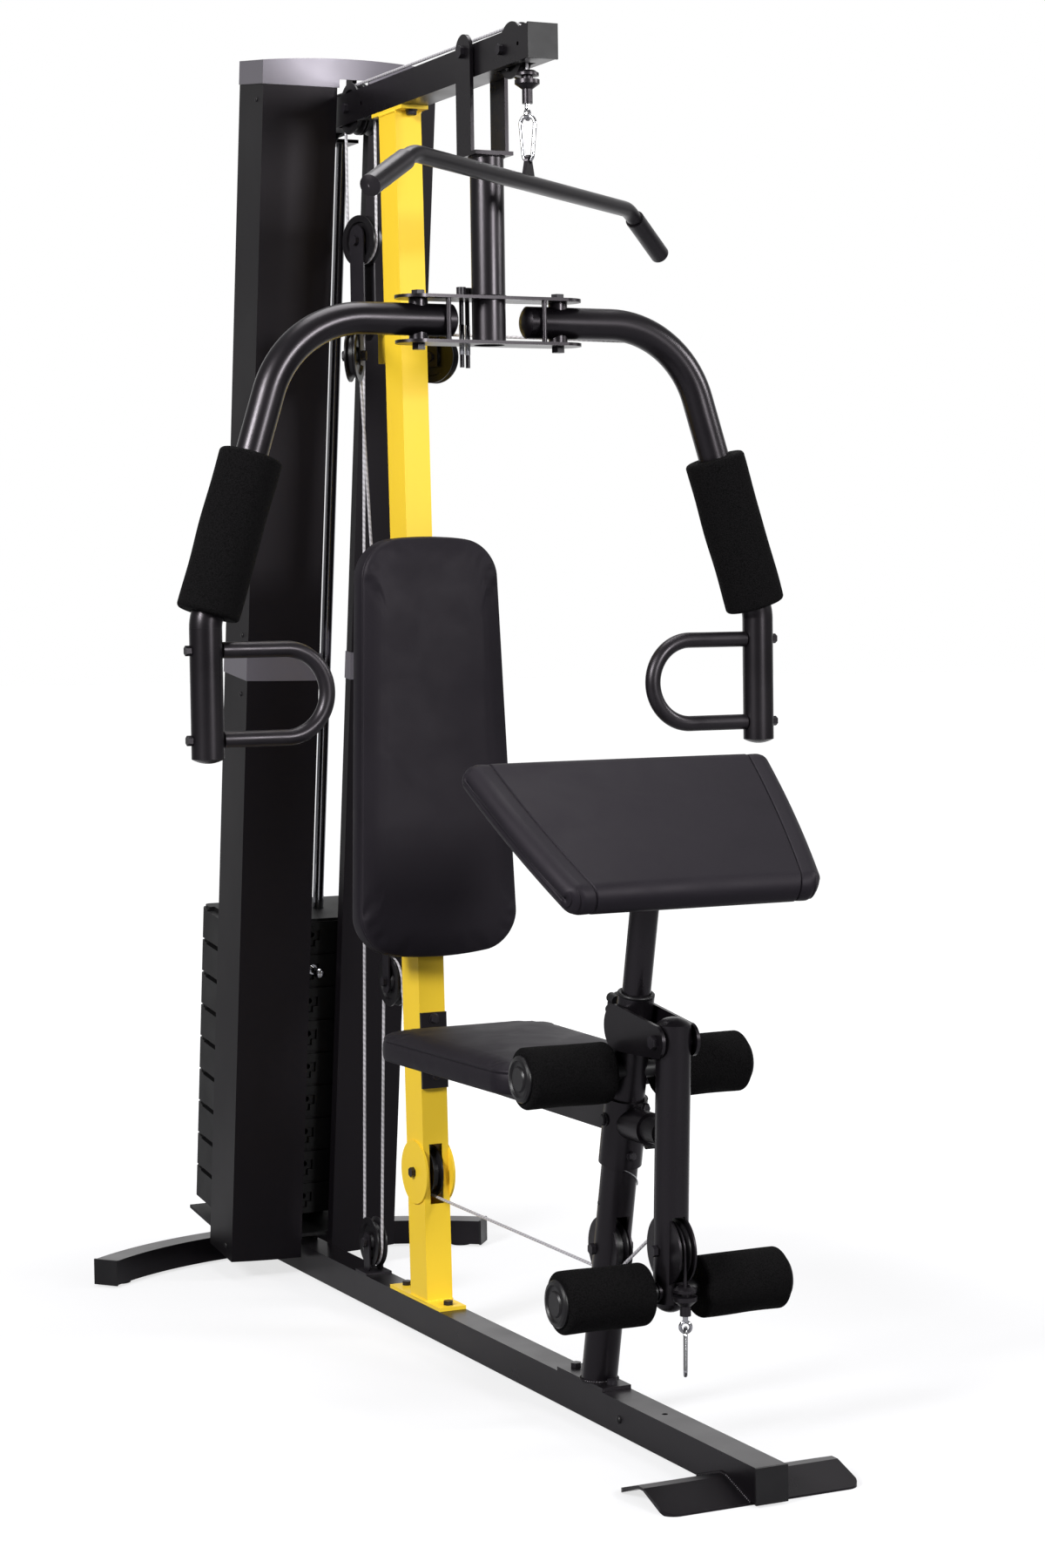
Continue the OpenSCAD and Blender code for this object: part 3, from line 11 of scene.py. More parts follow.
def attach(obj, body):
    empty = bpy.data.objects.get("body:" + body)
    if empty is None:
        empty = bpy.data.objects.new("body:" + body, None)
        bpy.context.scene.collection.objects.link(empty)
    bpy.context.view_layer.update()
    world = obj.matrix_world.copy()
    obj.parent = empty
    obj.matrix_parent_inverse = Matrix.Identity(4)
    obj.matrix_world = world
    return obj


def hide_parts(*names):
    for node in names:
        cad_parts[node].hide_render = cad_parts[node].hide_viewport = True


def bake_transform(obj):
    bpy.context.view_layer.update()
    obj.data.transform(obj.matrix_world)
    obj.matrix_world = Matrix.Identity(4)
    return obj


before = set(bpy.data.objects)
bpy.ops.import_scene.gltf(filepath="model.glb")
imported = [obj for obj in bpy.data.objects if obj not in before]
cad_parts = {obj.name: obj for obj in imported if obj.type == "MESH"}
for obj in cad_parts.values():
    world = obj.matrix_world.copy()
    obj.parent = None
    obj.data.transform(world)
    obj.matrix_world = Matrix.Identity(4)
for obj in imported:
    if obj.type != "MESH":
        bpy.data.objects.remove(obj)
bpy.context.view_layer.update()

bl_info = {
    "name": "Multi-gym dresser",
    "version": (1, 0, 0),
    "blender": (4, 5, 0),
    "location": "View3D > Sidebar > Multi-gym",
    "description": "Pads, foam, cables, fastenings and finishes of a multi-gym round its solids",
    "category": "Object",
}

MM = 0.001
# the frame's origin lies this far behind the foot of the upright, in millimetres
FOOT_Y = 181.5
# how far the top of the upright stands back from its foot, and how high it is, in millimetres
TOP_Y, TOP_Z = 57, 2029
# how far back the front post and the stack's rods go for each millimetre that they rise
POST_LEAN, ROD_LEAN = -0.2247, 0.13
# the middle of the yoke's tube, in millimetres
YOKE_Y = -278


def at(points):
    """Points in millimetres about the foot of the upright, as metres in the frame."""
    return (np.asarray(points, float) + (0.0, FOOT_Y, 0.0)) * MM


def linear(code):
    """An sRGB hex colour as linear red, green, blue."""
    c = np.array([int(code[i:i + 2], 16) for i in (1, 3, 5)]) / 255
    return tuple(np.where(c <= 0.04045, c / 12.92, ((c + 0.055) / 1.055) ** 2.4))


def colour(label, text, code):
    """A colour property with its sRGB default."""
    return FloatVectorProperty(
        name=label, description=text, subtype="COLOR", size=3, min=0, max=1, default=linear(code))


def length(label, text, millimetres):
    """A length property with its default in millimetres."""
    return FloatProperty(
        name=label, description=text, subtype="DISTANCE", unit="LENGTH", default=millimetres * MM)


class GymColours(bpy.types.PropertyGroup):
    """Colours of the finishes."""
    black: colour("Powder coat", "Satin black of the frame and arms", "#0c0a0d")
    yellow: colour("Upright", "Gloss enamel of the upright", "#ffd538")
    cover: colour("Covers", "Dark lacquer of the two stack covers", "#0c0a0d")
    silver: colour("Cap and bands", "Silver paint of the moulded trim", "#757179")
    plates: colour("Weight plates", "Black of the coated plates", "#0a090b")
    vinyl: colour("Vinyl", "Charcoal upholstery", "#19161c")
    foam: colour("Foam", "Black foam of the sleeves and rollers", "#0d0c0d")
    plastic: colour("Moulded plastic", "Black of wheels, knobs and plugs", "#0f0d10")
    rubber: colour("Grip rubber", "Black of the grips and stops", "#141215")
    cable: colour("Cable coat", "Pale coat over the steel cable", "#c2bfc4")
    steel: colour("Plated steel", "Bright plating of rods, links and pins", "#d4d4d8")
    bolts: colour("Bolts", "Dark plating of bolts and brackets", "#242126")


class GymSizes(bpy.types.PropertyGroup):
    """Sizes of the soft pieces and cables."""
    cable: length("Cable", "Diameter over the coat", 5.0)
    arm_foam: length("Arm foam", "Diameter of the sleeves on the arms", 98.0)
    roller: length("Roller foam", "Diameter of the leg rollers", 90.0)
    swell: length("Swell", "Most that a pad's cover may swell", 4.0)
    thread: length("Seam thread", "Diameter of the seam's raised thread", 1.1)


class GymStage(bpy.types.PropertyGroup):
    """Lamps and floor."""
    floor: colour("Floor", "Pale floor", "#8c8c8f")
    key: FloatProperty(name="Key lamp", description="Softbox at the left front", subtype="POWER", default=250.0)
    fill: FloatProperty(name="Fill lamp", description="Softbox at the right front", subtype="POWER", default=108.0)
    rim: FloatProperty(name="Rim lamp", description="Softbox at the far right", subtype="POWER", default=45.0)
    top: FloatProperty(name="Top lamp", description="Softbox overhead", subtype="POWER", default=80.0)
    sky: FloatProperty(name="Room light", description="Level of the even room light", default=0.2)


def options(context):
    """The add-on's three groups of settings."""
    s = context.scene
    return s.gym_colours, s.gym_sizes, s.gym_stage


# Finishes

def feed(tree, n, values=None, wires=None):
    """Sets a node's inputs and wires other nodes' outputs to them."""
    for key, value in (values or {}).items():
        n.inputs[key].default_value = value
    for key, output in (wires or {}).items():
        tree.links.new(output, n.inputs[key])
    return n


def node(tree, kind, values=None, wires=None, **settings):
    """Adds a shader node with its attributes, inputs and wires."""
    n = tree.nodes.new(kind)
    for key, value in settings.items():
        setattr(n, key, value)
    return feed(tree, n, values, wires)


def blank(name):
    """A new Principled material: material, tree, shader and Object coordinates."""
    material = bpy.data.materials.new(name)
    material.use_nodes = True
    tree = material.node_tree
    return material, tree, tree.nodes["Principled BSDF"], node(tree, "ShaderNodeTexCoord").outputs["Object"]


# the dark coats and the vinyl shine a little towards plum
WHITE, PLUM = (1.0, 1.0, 1.0, 1.0), (1.0, 0.92, 1.0, 1.0)
# nearly all the values of a noise lie between these two
NOISE_LOW, NOISE_HIGH = 0.3, 0.7
# drawn size of the vinyl's grain, the foam's cells and the lay of the cable's strands, in millimetres
GRAIN_MM, CELL_MM, LAY_MM = 2.4, 2.2, 9.0


def shaded(c, k):
    """A colour times k, with alpha."""
    return (*(min(x * k, 1.0) for x in c), 1.0)


def noise(tree, where, size_mm, **values):
    """A noise with features of about a size."""
    return node(tree, "ShaderNodeTexNoise", {"Scale": 1 / (size_mm * MM), **values}, {"Vector": where}).outputs["Fac"]


def ranged(tree, value, low, high, start, end, **settings):
    """A value taken from the range low to high into the range start to end."""
    return node(
        tree, "ShaderNodeMapRange", {"From Min": low, "From Max": high, "To Min": start, "To Max": end},
        {"Value": value}, **settings).outputs["Result"]


def between(tree, c, dark, light, share):
    """A colour from c times dark to c times light, by a share from 0 to 1."""
    return node(
        tree, "ShaderNodeMix", {6: shaded(c, dark), 7: shaded(c, light)}, {0: share}, data_type="RGBA").outputs[2]


def raised(tree, height, strength, depth_mm, **wires):
    """The normal of a skin that a height lifts."""
    return node(
        tree, "ShaderNodeBump", {"Strength": strength, "Distance": depth_mm * MM},
        {"Height": height, **wires}).outputs["Normal"]


def maths(tree, operation, *terms):
    """A step of arithmetic on outputs and numbers."""
    values = {k: t for k, t in enumerate(terms) if isinstance(t, float)}
    wires = {k: t for k, t in enumerate(terms) if k not in values}
    return node(tree, "ShaderNodeMath", values, wires, operation=operation).outputs[0]


def coat(name, c, rough, grain_mm, bump, drift=0.10, metallic=0.0, patch_mm=150.0, rough_drift=0.06,
         specular=0.5, tint=WHITE):
    """A sprayed, moulded or plated skin: a fine grain lifts the surface, and wide soft patches shift
    colour and roughness a little."""
    material, tree, shader, where = blank(name)
    grain = noise(tree, where, grain_mm, Detail=2.0)
    patch = noise(tree, where, patch_mm, Detail=4.0)
    feed(tree, shader, {"Metallic": metallic, "Specular IOR Level": specular, "Specular Tint": tint}, {
        "Base Color": between(tree, c, 1 - drift, 1 + drift, patch),
        "Roughness": ranged(tree, patch, NOISE_LOW, NOISE_HIGH, rough - rough_drift, rough + rough_drift),
        "Normal": raised(tree, grain, bump, 0.3)})
    return material


def upholstery(name, c):
    """Embossed vinyl over foam: leather-like cells with soft hollows between, and slow creases.
    The real grain is about 1 mm and is drawn larger so that it shows."""
    material, tree, shader, where = blank(name)
    cells = node(
        tree, "ShaderNodeTexVoronoi", {"Scale": 1 / (GRAIN_MM * MM), "Randomness": 0.9}, {"Vector": where},
        feature="DISTANCE_TO_EDGE").outputs["Distance"]
    hollow = ranged(tree, cells, 0.0, 0.25, 0.0, 1.0)
    crease = noise(tree, where, 70, Detail=3.0, Distortion=0.4)
    slow = raised(tree, crease, 0.25, 1.2)
    feed(tree, shader, {"Specular IOR Level": 0.25, "Specular Tint": PLUM}, {
        "Base Color": between(tree, c, 0.86, 1.14, crease),
        "Roughness": ranged(tree, crease, NOISE_LOW, NOISE_HIGH, 0.50, 0.62),
        "Normal": raised(tree, hollow, 0.13, 0.25, Normal=slow)})
    return material


def cell_foam(name, c):
    """Cut rubber foam: dull, with open cells as pits painted dark as their shade, and the walls between them
    painted lighter as lit. The real cells are under 1 mm and are drawn larger so that they show."""
    material, tree, shader, where = blank(name)
    cells = node(tree, "ShaderNodeTexVoronoi", {"Scale": 1 / (CELL_MM * MM)}, {"Vector": where}).outputs["Distance"]
    speck = noise(tree, where, 1.5, Detail=4.0, Roughness=0.7)
    lit_wall_shaded_pit = ranged(tree, maths(tree, "MULTIPLY", cells, speck), 0.05, 0.45, 1.0, 0.0)
    # painted shade and light: the mask that lifts the walls also darkens the pits and brightens the walls
    feed(tree, shader, {"Roughness": 0.94, "Specular IOR Level": 0.1}, {
        "Base Color": between(tree, c, 0.35, 1.6, lit_wall_shaded_pit), "Normal": raised(tree, lit_wall_shaded_pit, 0.7, 0.9)})
    return material


def coated_cable(name, c):
    """Clear-coated wire rope: the lay of the strands shows as slanting bands along the map, which
    holds millimetres along the cable and turns round it."""
    material, tree, shader, _ = blank(name)
    lay = node(tree, "ShaderNodeSeparateXYZ", {}, {"Vector": node(tree, "ShaderNodeUVMap").outputs["UV"]})
    along = maths(tree, "MULTIPLY", lay.outputs["X"], 2 * math.pi / LAY_MM)
    around = maths(tree, "MULTIPLY", lay.outputs["Y"], 2 * math.pi)
    strand = ranged(tree, maths(tree, "SINE", maths(tree, "ADD", along, around)), -1.0, 1.0, 0.0, 1.0)
    feed(tree, shader, {"Roughness": 0.32, "Coat Weight": 0.35}, {
        "Base Color": between(tree, c, 0.72, 1.08, strand), "Normal": raised(tree, strand, 0.25, 0.3)})
    return material


def finishes(context):
    """Makes the finishes once and returns them by the name of the record's slot."""
    c, _, _ = options(context)
    makers = {
        # epoxy powder over steel tube: satin, with a fine orange peel
        "black_paint": lambda n: coat(n, c.black, 0.31, 1.8, 0.03, tint=PLUM),
        # gloss enamel over steel tube: smooth, a little brighter where it is thick
        "yellow_paint": lambda n: coat(n, c.yellow, 0.34, 2.4, 0.06, drift=0.03, specular=0.22),
        # lacquer on rolled sheet: smooth satin, with a slow waviness
        "cover_paint": lambda n: coat(n, c.cover, 0.42, 3.0, 0.06, patch_mm=420.0, specular=0.25, tint=PLUM),
        # metallic paint on moulded plastic
        "silver_plastic": lambda n: coat(n, c.silver, 0.34, 1.4, 0.05, drift=0.05, metallic=0.5),
        # bright chrome on drawn rod
        "chrome_rods": lambda n: coat(
            n, c.steel, 0.14, 4.0, 0.02, drift=0.04, metallic=1.0, patch_mm=60.0, rough_drift=0.04),
        # dull zinc on turned steel
        "zinc": lambda n: coat(n, c.steel, 0.30, 1.2, 0.06, drift=0.08, metallic=1.0, patch_mm=25.0),
        # black oxide on bolts and brackets
        "dark_zinc": lambda n: coat(n, c.bolts, 0.38, 1.4, 0.08, drift=0.12, metallic=0.3, patch_mm=40.0),
        # plastic shell over a poured core: dull, slightly pitted
        "stack_black": lambda n: coat(n, c.plates, 0.55, 2.6, 0.22, drift=0.12, patch_mm=90.0),
        "vinyl": lambda n: upholstery(n, c.vinyl),
        "foam": lambda n: cell_foam(n, c.foam),
        # dipped and moulded rubber: smooth satin
        "grip_rubber": lambda n: coat(n, c.rubber, 0.36, 1.6, 0.10, drift=0.08, patch_mm=50.0, tint=PLUM),
        # moulded plastic: finely textured
        "cap_plastic": lambda n: coat(n, c.plastic, 0.44, 1.5, 0.14, drift=0.08, patch_mm=40.0),
        # moulded nylon: smoother, with more shine
        "pulley_plastic": lambda n: coat(n, c.plastic, 0.34, 2.0, 0.06, drift=0.08, patch_mm=30.0),
        "cable_coat": lambda n: coated_cable(n, c.cable),
    }
    return {name: bpy.data.materials.get("gym_" + name) or make("gym_" + name) for name, make in makers.items()}


# Surfaces

def full_turn(count):
    """Evenly spaced angles of a full turn."""
    return np.linspace(0, 2 * np.pi, count, endpoint=False)


def run_of(path):
    """Length along a path at each of its points."""
    return np.concatenate([[0], np.cumsum(np.linalg.norm(np.diff(path, axis=0), axis=1))])


def points_along(path, s):
    """Points of a path at given lengths along it."""
    run = run_of(path)
    return np.stack([np.interp(s, run, path[:, k]) for k in range(path.shape[1])], -1)


def skin(rings, ends=True):
    """Points and faces of a stack of closed rings: quads join each ring to the next, and a fan to the
    mean of the first and last ring closes the ends."""
    m, n = rings.shape[:2]
    i, j = np.meshgrid(np.arange(m - 1), np.arange(n), indexing="ij")
    k = (j + 1) % n
    faces = np.stack([i * n + j, i * n + k, (i + 1) * n + k, (i + 1) * n + j], -1).reshape(-1, 4).tolist()
    points = rings.reshape(-1, 3)
    if ends:
        points = np.vstack([points, rings[0].mean(0), rings[-1].mean(0)])
        j = np.arange(n)
        k = (j + 1) % n
        faces += np.stack([np.full(n, m * n), k, j], -1).tolist()
        faces += np.stack([np.full(n, m * n + 1), (m - 1) * n + j, (m - 1) * n + k], -1).tolist()
    return points, faces


def put(context, name, shape, slot, body=None, sharp=False):
    """A new piece from (points in millimetres, faces): its faces are turned outwards, and it has its slot's
    finish and rides on its body. A piece given no body rides on none."""
    points, faces = shape
    mesh = bpy.data.meshes.new(name)
    mesh.from_pydata(at(points).tolist(), [], faces)
    work = bmesh.new()
    work.from_mesh(mesh)
    bmesh.ops.recalc_face_normals(work, faces=work.faces)
    work.to_mesh(mesh)
    work.free()
    mesh.shade_flat() if sharp else mesh.shade_smooth()
    mesh.materials.append(finishes(context)[slot])
    piece = bpy.data.objects.new(name, mesh)
    context.scene.collection.objects.link(piece)
    if body:
        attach(piece, body)
    return piece


def merged(parts):
    """Several (points, faces) as one."""
    counts = np.cumsum([0] + [len(p) for p, _ in parts])
    faces = [[v + int(c) for v in f] for c, (_, fs) in zip(counts, parts) for f in fs]
    return np.vstack([p for p, _ in parts]), faces


def hoop(rings):
    """Points and faces of rings whose last joins the first."""
    points, faces = skin(rings, False)
    m, n = rings.shape[:2]
    j = np.arange(n)
    return points, faces + np.stack([(m - 1) * n + j, (m - 1) * n + (j + 1) % n, (j + 1) % n, j], -1).tolist()


def tube(path, radius, sides, side, closed=False):
    """Rings of a round bar carried along a path: each ring stands square to the path, turned so that
    its first point leans to the given side. Radius may be one number or one for each point."""
    path = np.asarray(path, float)
    t = np.roll(path, -1, 0) - np.roll(path, 1, 0) if closed else np.gradient(path, axis=0)
    t /= np.linalg.norm(t, axis=1, keepdims=True)
    n = np.asarray(side) - (t @ np.asarray(side))[:, None] * t
    n /= np.linalg.norm(n, axis=1, keepdims=True)
    b = np.cross(t, n)
    a = full_turn(sides)
    r = np.broadcast_to(radius, len(path))[:, None, None]
    return path[:, None] + r * (np.cos(a)[None, :, None] * n[:, None] + np.sin(a)[None, :, None] * b[:, None])


def turned(profile, start, axis, sides=64):
    """Rings of a turned shape: a profile of (along, radius) swept round an axis from its start."""
    axis = np.asarray(axis, float) / np.linalg.norm(axis)
    helper = np.eye(3)[np.argmin(np.abs(axis))]
    n = np.cross(axis, helper)
    n /= np.linalg.norm(n)
    b = np.cross(axis, n)
    a = full_turn(sides)
    round_ = np.cos(a)[:, None] * n + np.sin(a)[:, None] * b
    profile = np.asarray(profile, float)
    return (np.asarray(start) + profile[:, :1] * axis)[:, None] + profile[:, 1, None, None] * round_[None]


# Pads

# a pad's back is drawn as rings of these shares of its edge; then come the rings of boxed_edge, where the side
# between the turned-under foot and the seam is free to swell, and the seam is one ring
BACK_SHARES = (0.05, 0.5, 0.9)
FREE_SIDE = slice(len(BACK_SHARES) + 4, len(BACK_SHARES) + 10)
SEAM = len(BACK_SHARES) + 12
PAD_SIDES = 480
# the cloth pass takes every second ring and every fourth point round it, for this many frames
COARSE_RINGS, COARSE_SIDES, CLOTH_FRAMES = 2, 4, 20
# a pad's crown falls off with this power of the way from its middle to its sides
CROWN_POWER = 2.4


def outline(w0, w1, l, r, count, bow=0.0):
    """A tapered plate's edge with round corners, evenly spaced: arcs at the four corners joined by
    straight sides, w0 wide at y 0 and w1 at y l. The ends are bowed: y leaves the middle by
    1 - bow u^2 of its way, u running from -1 to 1 across. Returns points and outward normals."""
    a = np.radians(np.linspace(0, 90, 16))
    corners = []
    for q, (sx, w, top) in enumerate(((1, w1, 1), (-1, w1, 1), (-1, w0, 0), (1, w0, 0))):
        c = np.array([sx * (w / 2 - r), l - r if top else r])
        corners.append(c + r * np.stack([np.cos(a + q * np.pi / 2), np.sin(a + q * np.pi / 2)], -1))
    loop = np.vstack(corners + [corners[0][:1]])
    p = points_along(loop, np.linspace(0, run_of(loop)[-1], count, endpoint=False))
    p[:, 1] = l / 2 + (p[:, 1] - l / 2) * (1 - bow * (2 * p[:, 0] / max(w0, w1)) ** 2)
    t = np.roll(p, -1, 0) - np.roll(p, 1, 0)
    n = np.stack([t[:, 1], -t[:, 0]], -1)
    return p, n / np.linalg.norm(n, axis=1, keepdims=True)


def pad_rings(w0, w1, l, r, edge, crown, count, bow):
    """Rings of a stuffed pad: the outline drawn in by each (inset, height) of the edge, and past the
    last of them shrunk towards the middle, where the face rises by crown (1 - |u|^2.4) (1 - |v|^2.4),
    u and v running from -1 to 1 across and along the face."""
    p, n = outline(w0, w1, l, r, count, bow)
    border = [np.column_stack([p - n * d, np.full(count, h)]) for d, h in edge]
    inner = border[-1][:, :2]
    middle = inner.mean(0)
    h = edge[-1][1]
    face = []
    for s in np.concatenate([np.linspace(0.985, 0.5, 18), np.linspace(0.44, 0.04, 8)]):
        q = middle + (inner - middle) * s
        v = (q[:, 1] - middle[1]) / np.ptp(inner[:, 1]) * 2 / (1 - bow * (2 * q[:, 0] / max(w0, w1)) ** 2)
        u = q[:, 0] / ((w0 + (w1 - w0) * q[:, 1] / l) / 2 - edge[-1][0])
        rise = np.clip(1 - np.abs(u) ** CROWN_POWER, 0, 1) * np.clip(1 - np.abs(v) ** CROWN_POWER, 0, 1)
        face.append(np.column_stack([q, h + crown * rise]))
    base = [np.column_stack([middle + (border[0][:, :2] - middle) * s, np.full(count, edge[0][1])])
            for s in BACK_SHARES]
    return np.array(base + border + face)


def boxed_edge(t):
    """Edge of a boxed pad of side height t: a turned-under foot, a full side, a sewn groove, and a
    rim that rolls over into the face."""
    return np.array([
        (9, 0.0), (4.4, 0.5), (2.2, 2.2), (0.9, 5.0), (0.3, 9), (0.0, t * 0.30), (0.1, t * 0.48), (0.5, t * 0.60),
        (1.0, t - 16), (1.4, t - 13.8), (1.9, t - 12.8), (3.4, t - 12.2), (3.5, t - 11.7), (2.1, t - 11.0),
        (1.9, t - 10.0), (2.3, t - 8.2), (3.6, t - 5.8), (5.9, t - 3.6), (9.2, t - 1.9), (13.5, t - 0.8),
        (19, t - 0.1), (27, t + 0.5)])


def swelled(rings, held, limit):
    """Cloth pass: the cover, held along its seams and its back, is blown up from inside, and the way
    that each point moved, no further than the limit, is added. A coarse copy is what swells, and the
    move is spread back over the fine rings by linear steps."""
    m, n = rings.shape[:2]
    rows = np.unique(np.round(np.linspace(0, m - 1, (m + 1) // COARSE_RINGS)).astype(int))
    cols = np.arange(0, n, COARSE_SIDES)
    coarse = rings[np.ix_(rows, cols)]
    points, faces = skin(coarse)
    mesh = bpy.data.meshes.new("swell")
    mesh.from_pydata((points * MM).tolist(), [], faces)
    cover = bpy.data.objects.new("swell", mesh)
    scene = bpy.context.scene
    scene.collection.objects.link(cover)
    group = cover.vertex_groups.new(name="held")
    fast = np.repeat(held[rows], len(cols))
    group.add(np.flatnonzero(fast).tolist(), 1.0, "REPLACE")
    group.add([len(rows) * len(cols)], 1.0, "REPLACE")
    cloth = cover.modifiers.new("cloth", "CLOTH")
    cloth.settings.quality = 6
    cloth.settings.vertex_group_mass = "held"
    cloth.settings.use_pressure = True
    cloth.settings.uniform_pressure_force = 4.0
    cloth.settings.tension_stiffness = 12.0
    cloth.settings.compression_stiffness = 12.0
    cloth.settings.bending_stiffness = 0.6
    cloth.settings.effector_weights.gravity = 0.0
    cloth.point_cache.frame_start = 1
    cloth.point_cache.frame_end = CLOTH_FRAMES
    for step in range(1, CLOTH_FRAMES + 1):
        scene.frame_set(step)
    shown = cover.evaluated_get(bpy.context.evaluated_depsgraph_get()).data
    flat = np.empty(len(shown.vertices) * 3)
    shown.vertices.foreach_get("co", flat)
    move = (flat.reshape(-1, 3) / MM - points)[:len(rows) * len(cols)].reshape(len(rows), len(cols), 3)
    bpy.data.objects.remove(cover)
    bpy.data.meshes.remove(mesh)
    scene.frame_set(1)
    far = np.linalg.norm(move, axis=-1, keepdims=True)
    move *= np.minimum(1.0, limit / np.maximum(far, 1e-9))
    i = np.interp(np.arange(m), rows, np.arange(len(rows)))
    i0 = np.floor(i).astype(int)
    i1 = np.minimum(i0 + 1, len(rows) - 1)
    j = np.arange(n) / COARSE_SIDES
    j0 = np.floor(j).astype(int) % len(cols)
    j1 = (j0 + 1) % len(cols)
    fi, fj = (i - i0)[:, None, None], (j - np.floor(j))[None, :, None]
    spread = ((1 - fi) * (1 - fj) * move[np.ix_(i0, j0)] + (1 - fi) * fj * move[np.ix_(i0, j1)]
              + fi * (1 - fj) * move[np.ix_(i1, j0)] + fi * fj * move[np.ix_(i1, j1)])
    return rings + spread


def moved(matrix, points):
    """Points through a 4 x 4 matrix."""
    m = np.array(matrix)
    return points @ m[:3, :3].T + m[:3, 3]


def turn_x(degrees):
    """A turn about X."""
    return Matrix.Rotation(math.radians(degrees), 4, "X")


# the back pad lies on the leaning front of the upright, and the seat lies level
BACK_AT = turn_x(-math.degrees(math.atan(TOP_Y / TOP_Z))) @ Matrix.Translation((0, -34.15, 635)) @ turn_x(90)
SEAT_AT = Matrix.Translation((0, -596, 490))
# the preacher pad's solid falls and runs this far towards the front, and the cushion is longer behind and in front
CURL_FALL, CURL_RUN = 148, 213
CURL_BEHIND, CURL_BEFORE = 28.0, 22.0
CURL_LONG = math.hypot(CURL_FALL, CURL_RUN) + CURL_BEHIND + CURL_BEFORE
CURL_AT = (Matrix.Translation((0, -725, 988)) @ turn_x(math.degrees(math.atan2(CURL_FALL, CURL_RUN)))
           @ Matrix.Rotation(math.pi, 4, "Z") @ Matrix.Translation((0, -CURL_BEHIND, -55)))


def boxed_pad(context, name, place, body, w0, w1, l, r, t, crown, bow):
    """A boxed pad w0 wide where it starts and w1 where it ends, l long, with corners of radius r, sides of
    height t, a sewn rim with its raised thread, a crowned face and bowed ends."""
    _, sizes, _ = options(context)
    rings = pad_rings(w0, w1, l, r, boxed_edge(t), crown, PAD_SIDES, bow)
    held = np.ones(len(rings), bool)
    held[FREE_SIDE] = False
    held[SEAM + 4:] = False
    rings = swelled(rings, held, sizes.swell / MM)
    z = rings[..., 2]
    rings[..., 2] = np.where(z > t, t + (z - t) * crown / (z.max() - t), z)
    thread = tube(rings[SEAM], sizes.thread / MM / 2, 6, (0, 0, 1), True)
    points, faces = merged([skin(rings), hoop(thread)])
    pad = put(context, name, (moved(place, points), faces), "vinyl", body)
    return pad


def curl_cushion(context, name, place, body, w0, w1, l, t, crown, bow):
    """The preacher pad, w0 wide behind, w1 in front, l long and t thick, drawn from side to side: a side view
    with full rolls front and back, drawn in along a quarter circle at each side. A sewn groove runs inside
    each side, and the cover is folded over itself twice where it turns the front and the back corners."""
    roll, strip, folds = 22.0, 38.0, (3.0, 12.5)
    p, n = outline(l, l, t, 23.0, 260)
    s = np.clip(p[:, 0] / l + 0.5, 0, 1)
    half = (w0 + (w1 - w0) * s) / 2 + bow * 4 * s * (1 - s)
    near = np.concatenate([np.linspace(0, 1.5, 5)[:-1], np.linspace(1.5, strip + 6, 64)])
    across = np.linspace(-1, 1, 42)[1:-1]
    d = np.concatenate([near, np.full(len(across), 2 * strip), near[::-1]])[:, None]
    x = np.concatenate([near[:, None] - half, (half - near[-1]) * across[:, None], half - near[::-1, None]])
    inset = roll - np.sqrt(roll ** 2 - np.clip(roll - d, 0, roll) ** 2)
    seam = 2.6 * np.exp(-((d - strip) / 1.1) ** 2) + np.where(d < strip, 1.0 * np.exp((d - strip) / 9), 0)
    fold = sum(np.where(d > q, 2.4 * np.exp((q - d) / 3.5), 0) for q in folds)
    into = np.minimum(inset + seam + fold * np.clip((np.abs(n[:, 0]) - 0.25) / 0.5, 0, 1), roll)
    y = p[:, 0] + l / 2 - n[:, 0] * into
    z = p[:, 1] - n[:, 1] * into
    u, v = np.clip(np.abs(x) / (half - strip), 0, 1), np.clip(np.abs(y / l - 0.5) * 2, 0, 1)
    z += crown * (1 - u ** CROWN_POWER) * (1 - v ** CROWN_POWER) * np.clip(n[:, 1], 0, 1)
    points, faces = skin(np.stack([x, y, z], -1))
    pad = put(context, name, (moved(place, points), faces), "vinyl", body)
    return pad


class GYM_OT_pads(bpy.types.Operator):
    """Back pad, seat and preacher pad in sewn vinyl"""
    bl_idname = "gym.pads"
    bl_label = "Pads"

    def execute(self, context):
        back = boxed_pad(context, "back_cushion", BACK_AT, "frame",
                         w0=282, w1=244, l=690, r=58, t=50, crown=5.5, bow=0.045)
        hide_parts("back_pad")
        seat = boxed_pad(context, "seat_cushion", SEAT_AT, "frame",
                         w0=280, w1=306, l=478, r=56, t=44, crown=5.5, bow=0.02)
        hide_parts("seat_pad")
        curl = curl_cushion(context, "curl_cushion", CURL_AT, "curl",
                            w0=498, w1=396, l=CURL_LONG, t=49, crown=4.5, bow=6.0)
        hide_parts("curl_pad")
        return {"FINISHED"}


# Foam sleeves and rollers

# the right arm runs level to here, bends down by an angle on a radius, and runs straight to its foam
BEND_X, BEND_Z, BEND_R, BEND = 212, 1655, 165, math.radians(72.6)
FOAM_DOWN, FOAM_LONG, FOAM_BORE = 98, 252, 50.3
# the leg rollers: how far from the middle they start, their length and bore, and (y, z) of both axles, the
# lower one on the lever, which hangs a little back
ROLL_X, ROLL_LONG, ROLL_BORE = 42, 136, 25.1
UPPER_AXLE, LOWER_AXLE = (-732, 540), (-858 + (598 - 238) * math.tan(math.radians(2.8)), 238)
FOAM_SIDES = 96


